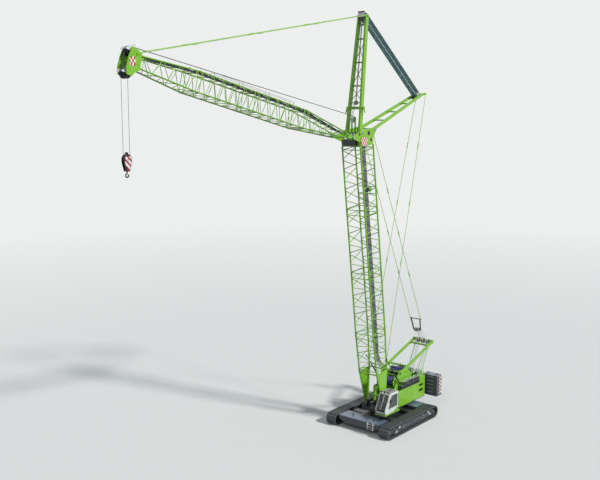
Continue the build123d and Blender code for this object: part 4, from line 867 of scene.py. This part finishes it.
glazing = [prism(band(FRONT_PANE, PANE), CAB_IN + 0.088, CAB_OUT - 0.088),
           prism(SIDE_WINDOW, 1.202, 1.202 + PANE),
           cuboid((0.842, 0.842 + PANE), (CAB_IN + 0.15, CAB_OUT - 0.15), (2.5, 3.5)),
           cuboid((1.2, 1.9), (CAB_IN + 0.2, CAB_OUT - 0.2), (3.652, 3.652 + PANE))]
piece("cab_glazing", glazing, GLASS, UPPER)
piece("door_glazing", [prism(DOOR_WINDOW, 2.270, 2.270 + PANE)], GLASS, "cab_door")
piece("door_gasket", [ring_of(DOOR_WINDOW, 2.302)], RUBBER, "cab_door")
piece("door_handle", [tube([(2.30, 2.30, 2.18), (2.30, 2.345, 2.18), (2.15, 2.345, 2.18),
                            (2.15, 2.30, 2.18)], 0.012),
                      tube([(2.46, 2.30, 2.35), (2.46, 2.35, 2.38), (2.22, 2.35, 2.95),
                            (2.19, 2.30, 3.0)], 0.014)], SEAT, "cab_door")
gaskets = [tube([(x, y, z) for x, z in FRONT_RIM], 0.016) for y in FRAME_ENDS]
gaskets += [tube([(x, y, z) for y in FRAME_ENDS], 0.016) for x, z in FRONT_RIM[::2]]
piece("cab_gaskets", gaskets + [ring_of(SIDE_WINDOW, 1.175)], RUBBER, UPPER)
piece("cab_middle_post", [strap((3.005, 1.74, 2.26), (2.31, 1.74, 3.57), 0.045, 0.03)], WHITE,
      UPPER, 0.005)
wipers = []
for foot, bend, tip, low, high in ((1.50, 1.42, 1.38, 1.40, 1.36), (2.05, 2.0, 1.98, 2.0, 1.97)):
    wipers.append(tube([(2.99, foot, 2.31), (3.0, bend, 2.40), (2.60, tip, 3.15)], 0.010))
    wipers.append(tube([(2.86, low, 2.60), (2.42, high, 3.42)], 0.012))
piece("wipers", wipers, SEAT, UPPER)
guard = [tube([(x, y, 3.74) for y in GUARD_ENDS], 0.012) for x in np.linspace(1.05, 2.05, 9)]
guard += [tube([(1.0, y, 3.68), (1.0, y, 3.74), (2.1, y, 3.74), (2.1, y, 3.68)], 0.016)
          for y in GUARD_ENDS]
piece("roof_guard", guard, WHITE, UPPER)
mirrors, mirror_faces = [], []
for y, out, x in ((CAB_OUT, 0.26, 2.55), (CAB_IN, 0.05, 2.87)):
    mirrors.append(tube([(2.35, y + 0.02, 3.45), (x, y + out, 3.35), (x, y + out, 2.9)], 0.012))
    mirrors.append(cuboid(about(x, 0.02), about(y + out, 0.09), (2.95, 3.3)))
    mirror_faces.append(cuboid((x - 0.028, x - 0.021), about(y + out, 0.075), (2.97, 3.28)))
piece("mirrors", mirrors, SEAT, UPPER, 0.008)
piece("mirror_faces", mirror_faces, ROD, UPPER)

LAMP_SIZE = 0.085
BOWL = LAMP_SIZE * np.array([(-0.9, 0.3), (-0.6, 0.75), (0, 1), (0.12, 1), (0.12, 0.9),
                             (0.02, 0.88)])
LENS = LAMP_SIZE * np.array([(0, 0.86), (0.05, 0.8), (0.10, 0.4), (0.11, 0.02 / LAMP_SIZE)])
LAMP_X, LAMP_Z = 2.34, 3.79
lamps, lenses = [], []
for y in (1.35, 2.13, 1.74):
    lamps.append(lathe((LAMP_X, y, LAMP_Z), BOWL, 24, 0))
    lamps.append(tube([(LAMP_X - 0.03, y, LAMP_Z - 0.07), (LAMP_X - 0.03, y, 3.67)], 0.015))
    lenses.append(lathe((LAMP_X, y, LAMP_Z), LENS, 24, 0))
piece("cab_lamps", lamps, SEAT, UPPER)
piece("cab_lamp_lenses", lenses, GLASS, UPPER)

seat = [prism([(1.28, 2.36), (1.76, 2.33), (1.80, 2.40), (1.74, 2.46), (1.32, 2.46)], 1.50, 1.98),
        prism([(1.17, 2.36), (1.32, 2.40), (1.25, 2.75), (1.20, 3.12), (1.10, 3.10), (1.12, 2.7)],
              1.52, 1.96),
        prism([(1.13, 3.14), (1.22, 3.14), (1.20, 3.32), (1.11, 3.30)], 1.62, 1.86)]
for y in (1.44, 2.04):
    seat.append(cuboid((1.30, 1.85), about(y, 0.04), (2.58, 2.66)))
    seat.append(tube([(1.78, y, 2.66), (1.80, y, 2.80), (1.79, y, 2.83)], 0.022))
seat += [cuboid((1.25, 1.65), (1.6, 1.88), (1.90, 2.33)),
         cuboid((2.42, 2.50), (1.32, 1.60), (2.62, 2.84)),
         tube([(2.46, 1.46, 1.92), (2.46, 1.46, 2.64)], 0.025)]
seat += [cuboid((2.35, 2.52), about(y, 0.05), (1.98, 2.02)) for y in (1.66, 1.84)]
seated = piece("driving_seat", seat, SEAT, UPPER, 0.02)
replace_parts(seated, "operator_seat")

# ---------------------------------------------------------------- ropes
def rope(start, end, radius=0.014):
    """Taut rope: a round section carried straight between two places."""
    return tube([start, end], radius, 6)


def crossing(name, ropes, material):
    """Ropes that run from one body to another: one piece that rides no body, its place baked into
    its points.
    """
    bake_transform(piece(name, ropes, material, None))


GUIDE_STATIONS = (4.45, 24.9)
ROPE_GUIDE = boom_at(GUIDE_STATIONS[0], -0.75, 0)
DRUM_TOP = FRONT_DRUM + [0, 0, 0.44]
reeves = np.linspace(-0.25, 0.25, 11)
boom_run = [tube([ROPE_GUIDE + [0, y, 0], boom_at(GUIDE_STATIONS[1], -0.75, y),
                  boom_at(26.03, -0.035, y * 2)], 0.017, 6) for y in reeves]
piece("boom_rope_run", boom_run, ROPE, "boom")
from_drum = [rope(DRUM_TOP + [0, 2.8 * y, 0], ROPE_GUIDE + [0, y, 0]) for y in reeves]
crossing("drum_to_boom_ropes", from_drum, ROPE)

LUFF_WAY = (STRUT_HEAD - REAR_HEAD) / np.linalg.norm(STRUT_HEAD - REAR_HEAD)
LUFF_OFF = 0.28 * np.array([-LUFF_WAY[2], 0, LUFF_WAY[0]])
luffing = [rope(STRUT_HEAD + face * LUFF_OFF + [0, y, 0], REAR_HEAD + face * LUFF_OFF + [0, y, 0],
                0.019) for face in (-1, 1) for y in np.linspace(-0.24, 0.24, 10)]
crossing("jib_luffing_ropes", luffing, LUFFING_ROPE)

LEAD_TOP, HEAD_TOP = LEAD_SHEAVE + [-0.05, 0, 0.275], UPPER_SHEAVE + [-0.05, 0, 0.325]
jib_lead = [rope(LEAD_TOP + [0, y, 0], HEAD_TOP + [0, y, 0]) for y in (-0.06, 0.06)]
crossing("jib_hoist_rope", jib_lead, FALL_ROPE)

hang = [rope(GANTRY_HEAD + [dx, y, 0.05], BRIDLE_LOW + [dx * 0.77, y2, 0], 0.009)
        for y, y2 in ((-0.46, -0.24), (-0.08, -0.08), (0.08, 0.08), (0.46, 0.24))
        for dx in (-0.28, 0.28)]
crossing("bridle_ropes", hang, FALL_ROPE)
back = [rope(GANTRY_HEAD + [dx, y, 0], REAR_SHEAVES + [dx * 0.8, y2, 0], 0.011)
        for y, y2 in ((-0.62, -0.42), (-0.46, -0.26), (0.46, 0.26), (0.62, 0.42))
        for dx in (-0.28, 0.28)]
piece("gantry_ropes", back, FALL_ROPE, UPPER)
rear_drum = [rope(REAR_DRUM + [0, y, 0.45], REAR_SHEAVES + [0.05, y, 0.24]) for y in (-0.3, 0.3)]
piece("rear_drum_rope", rear_drum, FALL_ROPE, UPPER)
over_head = [tube([UPPER_SHEAVE + [0.33, 0, 0.05], LOWER_SHEAVE + [0.344, 0, 0.05]], 0.014)]
piece("head_rope", over_head, FALL_ROPE, "jib")


# ---------------------------------------------------------------- gantry and boom fittings
def oval(centre, half, count=20):
    """Flat oval seen from the side: (x, z) places, fuller than an ellipse of the same size."""
    c, s = np.cos(turns(count)), np.sin(turns(count))
    return np.stack([centre[0] + half[0] * np.sign(c) * np.abs(c) ** 0.8,
                     centre[1] + half[1] * np.sign(s) * np.abs(s) ** 0.8], 1)


GANTRY_SIDE = box_of("gantry")[1][1] - 0.1
piece("gantry_top_beam", [strap(GANTRY_HEAD + [-0.02, -GANTRY_SIDE, 0.16],
                                GANTRY_HEAD + [-0.02, GANTRY_SIDE, 0.16], 0.30, 0.06, (1, 0, 0.2))],
      LIME, UPPER, 0.01)
guides = [strap(ROPE_GUIDE + [-0.06, y, -0.05], ROPE_GUIDE + [-0.06, y, 0.25], 0.02, 0.14)
          for y in (-0.3, 0.3)]
guide_roller = mirrored([(-0.3, 0.05), (-0.3, 0.10), (-0.28, 0.10), (-0.26, 0.045)])
guides += [lathe(boom_at(along, -0.80, 0), guide_roller, 20) for along in GUIDE_STATIONS]
piece("boom_rope_guides", guides, SILVER, "boom")

checker = [prism(oval((5.09, 27.30), (0.50, 0.42)), *outward(side, 1.062, 1.078))
           for side in SIDES]
piece("boom_head_foil", checker, CHECKED, "boom")
BOOM_PLATE = 1.0
PROUD = 0.001
pin_caps, opening_shade_discs = [], []
for side in SIDES:
    for x, z, size in ((JIB_PIN[0], JIB_PIN[2], 0.11), (STRUT_FOOT[0], STRUT_FOOT[2], 0.12),
                       (3.3, 28.4, 0.13)):
        cap = [(side * PROUD, size), (side * 0.05, size), (side * 0.06, 0.6 * size)]
        pin_caps.append(lathe((x, side * BOOM_PLATE, z), cap, 24))
    # Black discs on the head plates stand for the shade seen in their openings.
    for x, z, size in ((4.35, 28.05, 0.20), (4.0, 27.45, 0.15), (5.75, 27.95, 0.13)):
        opening_shade_discs.append(lathe((x, side * BOOM_PLATE, z),
                              [(side * PROUD, size), (side * 4 * PROUD, size)], 28))
piece("boom_head_pin_caps", pin_caps, SILVER, "boom")
piece("boom_head_openings", opening_shade_discs, BLACK, "boom")
HEAD_BOX = box_of("head_box")
head_lamp = lathe((HEAD_BOX[1][0] - 0.18, -0.52, HEAD_BOX[1][2] + 0.005),
                  [(0, 0.05), (0.03, 0.14), (0.12, 0.15), (0.17, 0.12), (0.19, 0.03)], 24, 2)
piece("head_lamp", [head_lamp], WHITE, "boom")

# ---------------------------------------------------------------- strut fittings
STRUT_HALF = (0.70, 0.38)
LOW_BEAM = 0.21


def strut_at(share, side):
    """Point in a strut leg's middle at a share of its length; side runs from -1 to 1."""
    spot = STRUT_FOOT + share * (STRUT_HEAD - STRUT_FOOT)
    half = STRUT_HALF[0] + share * (STRUT_HALF[1] - STRUT_HALF[0])
    return spot + [0, side * half, 0]


def head_bars(name, head, reach, half, levels, material, body, bevel):
    """Blocks across a strut's head, between two reaches in front of it, at given levels."""
    bars = [cuboid(head[0] + np.array(reach), (-half, half), head[2] + np.array(level))
            for level in levels]
    piece(name, bars, material, body, bevel)


diagonals = [tube([strut_at(low, side) + [0.035 * side, 0, 0],
                   strut_at(high, -side) + [0.035 * side, 0, 0]], 0.032)
             for low, high in ((0.27, 0.39), (0.41, 0.59), (0.61, 0.79)) for side in SIDES]
piece("strut_diagonals", diagonals, LIME, "jib_strut")
low_beam = [strap(strut_at(LOW_BEAM, -1.5), strut_at(LOW_BEAM, 1.5), 0.20, 0.24, (1, 0, 0))]
for side in SIDES:
    top = strut_at(LOW_BEAM, 1.47 * side)
    low_beam.append(strap(top, top + [0, 0.10 * side, -0.42], 0.16, 0.05, (1, 0, 0)))
piece("strut_low_beam", low_beam, LIME, "jib_strut", 0.008)
head_bars("strut_head_guard", STRUT_HEAD, (0.33, 0.36), 0.31, [(-0.16, 0.20)], WHITE, "jib_strut",
          0.006)
head_bars("strut_head_bars", STRUT_HEAD, (0.21, 0.35), 0.33, [(0.22, 0.34), (-0.40, -0.18)],
          BLACK, "jib_strut", 0.004)
head_bars("rear_head_guard", REAR_HEAD, (0.34, 0.37), 0.33, [(0.02, 0.26)], WHITE, "boom", 0.006)
head_bars("rear_head_bars", REAR_HEAD, (0.26, 0.36), 0.33, [(-0.32, -0.02)], BLACK, "boom", 0.004)
inner = [rope(STRUT_SHEAVE + [0.19, y, 0], LEAD_SHEAVE + [0.27, y, 0], 0.016)
         for y in (-0.06, 0.06)]
crossing("strut_inner_ropes", inner, ROPE)
upper = [rope(STRUT_SHEAVE + [0.0, y, 0.2], STRUT_HEAD + [0.2, y + 0.06, -0.2], 0.016)
         for y in (-0.05, 0.0, 0.05)]
piece("strut_upper_ropes", upper, ROPE, "jib_strut")


# ---------------------------------------------------------------- jib fittings
JIB_STATIONS = (0.5, 6.6, 18.6, 23.5)


def jib_level(along):
    """Height of the jib's upper chords over its axis: rising, level, then falling to the head."""
    return np.interp(along, JIB_STATIONS, [0.15, 0.86, 0.86, 0.58])


def jib_half(along):
    """Half width of the jib from its foot to its head."""
    return np.interp(along, JIB_STATIONS, [0.62, 0.85, 0.85, 0.50])


# Dark strips just under the upper chords stand for the shade under them.
chord_shade_strips = []
for run in ((1.2, 6.6), (6.6, 18.6), (18.6, 23.3)):
    ends = [jib_at(along, jib_level(along) - 0.13, jib_half(along) - 0.07) for along in run]
    chord_shade_strips.append(strap(*ends, 0.02, 0.13))
piece("jib_cable_tray", chord_shade_strips, SEAT, "jib")
jib_roller = mirrored([(-0.2, 0.03), (-0.2, 0.08), (-0.17, 0.08), (-0.15, 0.04)])
rollers = [lathe(jib_at(along, jib_level(along) + 0.16, 0), jib_roller, 16)
           for along in (5.2, 9.8, 14.4, 19.0)]
piece("jib_rope_rollers", rollers, SEAT, "jib")
head_foil = [prism(oval(jib_at(24.2, 0.05, 0)[::2], (0.27, 0.32)), *outward(side, 0.481, 0.486))
             for side in SIDES]
piece("jib_head_foil", head_foil, CHECKED, "jib")

# ---------------------------------------------------------------- hook block
BLOCK = box_of("hook_block")
HOOK_X = (BLOCK[0][0] + BLOCK[1][0]) / 2
BLOCK_LOW, BLOCK_HIGH = BLOCK[0][2], BLOCK[1][2] - 0.15
FOIL_FACE = 0.155
HOOK_SEAT = np.array([HOOK_X, 0, 25.63])
outline = [(HOOK_X + dx, BLOCK_LOW + 0.06) for dx in (-0.13, 0.0)]
outline += [(HOOK_X + dx, BLOCK_HIGH - drop)
            for dx, drop in ((0.24, 0.62), (0.26, 0.27), (0.20, 0.12), (-0.20, 0.12),
                             (-0.275, 0.27), (-0.275, 0.52))]
cheeks = [prism(outline, *outward(side, 0.1503, FOIL_FACE)) for side in SIDES]
piece("block_foil", cheeks, BLOCK_FOIL, "hook_line")
block_bolts = [(HOOK_X + dx, side * FOIL_FACE, BLOCK_LOW + dz) for side in SIDES
               for dx, dz in ((-0.22, 0.74), (0.22, 0.74), (0, 0.16))]
piece("block_bolts", bolt_heads(block_bolts, 0.024, 0.014), RUNNING_GEAR, "hook_line")
axle = mirrored([(-0.172, 0.01), (-0.172, 0.05), (-0.155, 0.06)])
piece("block_axle", [lathe((HOOK_X, 0, BLOCK_HIGH - 0.34), axle, 28)], SILVER, "hook_line")
latch = [strap(HOOK_SEAT + [-0.03, 0, 0.12], HOOK_SEAT + [-0.105, 0, 0.02], 0.035, 0.008)]
piece("hook_latch", latch, RUNNING_GEAR, "hook")


# ---------------------------------------------------------------- floor, light and camera
SURROUND = "#EDEFEE"
FLOOR_REACH = 3000.0
EYE = (65.735, 44.161, 29.466)
EYE_DROP, EYE_TURN = 8.376, -140.22


def seen_ray(tree):
    """1 for rays of the camera, of mirrors and of glass, 0 for the light that falls on pieces."""
    path = add(tree, "ShaderNodeLightPath")
    seen = add(tree, "ShaderNodeMath", {0: path.outputs["Is Camera Ray"],
                                        1: path.outputs["Is Glossy Ray"]}, operation="ADD")
    return add(tree, "ShaderNodeMath", {0: seen.outputs[0], 1: path.outputs["Is Transmission Ray"]},
               operation="ADD", use_clamp=True).outputs[0]


def studio():
    """Pale floor that turns into the pale surround 50 to 150 m off, and two soft lamps."""
    floor_mesh = bpy.data.meshes.new("studio_floor")
    corners = [(FLOOR_REACH * x, FLOOR_REACH * y, 0)
               for x, y in ((-1, -1), (1, -1), (1, 1), (-1, 1))]
    floor_mesh.from_pydata(corners, [], [(0, 1, 2, 3)])
    floor = put("studio_floor", floor_mesh)
    material, tree, surface, place = start_material("pale_floor", Roughness=0.9, Metallic=0.0)
    seen = seen_ray(tree)
    paint(tree, surface, blend_colour(tree, seen, "#7C7F7B", "#E4E6E3"))
    far = ramp(tree, add(tree, "ShaderNodeVectorMath", {0: place}, operation="LENGTH")
               .outputs["Value"], 50.0, 150.0)
    glow = add(tree, "ShaderNodeEmission", {"Color": srgb(SURROUND), "Strength": 1.0})
    fading = add(tree, "ShaderNodeMixShader", {0: product(tree, far, seen),
                                               1: surface.outputs["BSDF"], 2: glow.outputs[0]})
    end = [node for node in tree.nodes if node.type == "OUTPUT_MATERIAL"][0]
    tree.links.new(fading.outputs[0], end.inputs["Surface"])
    floor_mesh.materials.append(material)

    world = bpy.data.worlds.new("studio")
    bpy.context.scene.world = world
    world.use_nodes = True
    tree = world.node_tree
    tree.nodes.clear()
    light = add(tree, "ShaderNodeBackground", {"Color": srgb("#DCE6F2"), "Strength": 0.30})
    shown = add(tree, "ShaderNodeBackground", {"Color": srgb(SURROUND), "Strength": 1.0})
    mixed = add(tree, "ShaderNodeMixShader", {0: seen_ray(tree), 1: light.outputs[0],
                                              2: shown.outputs[0]})
    add(tree, "ShaderNodeOutputWorld", {"Surface": mixed.outputs[0]})

    for name, strength, spread, azimuth, height in (("key", 2.9, 6.0, 97.0, 38.0),
                                                    ("fill", 0.45, 40.0, 20.0, 35.0)):
        lamp = bpy.data.lights.new(name, "SUN")
        lamp.energy = strength
        lamp.angle = math.radians(spread)
        put(name, lamp).rotation_euler = (math.radians(90 - height), 0, math.radians(azimuth + 90))


def camera():
    """Camera square to its line of sight, 84 m off, 29 m up."""
    lens = bpy.data.cameras.new("camera")
    lens.sensor_width = 36.0
    lens.lens = 50.18
    lens.clip_end = 2000.0
    holder = put("camera", lens)
    holder.location = EYE
    holder.rotation_euler = (math.radians(90 - EYE_DROP), 0, math.radians(EYE_TURN - 90))
    bpy.context.scene.camera = holder


studio()
camera()
bpy.context.scene.view_settings.view_transform = "Standard"
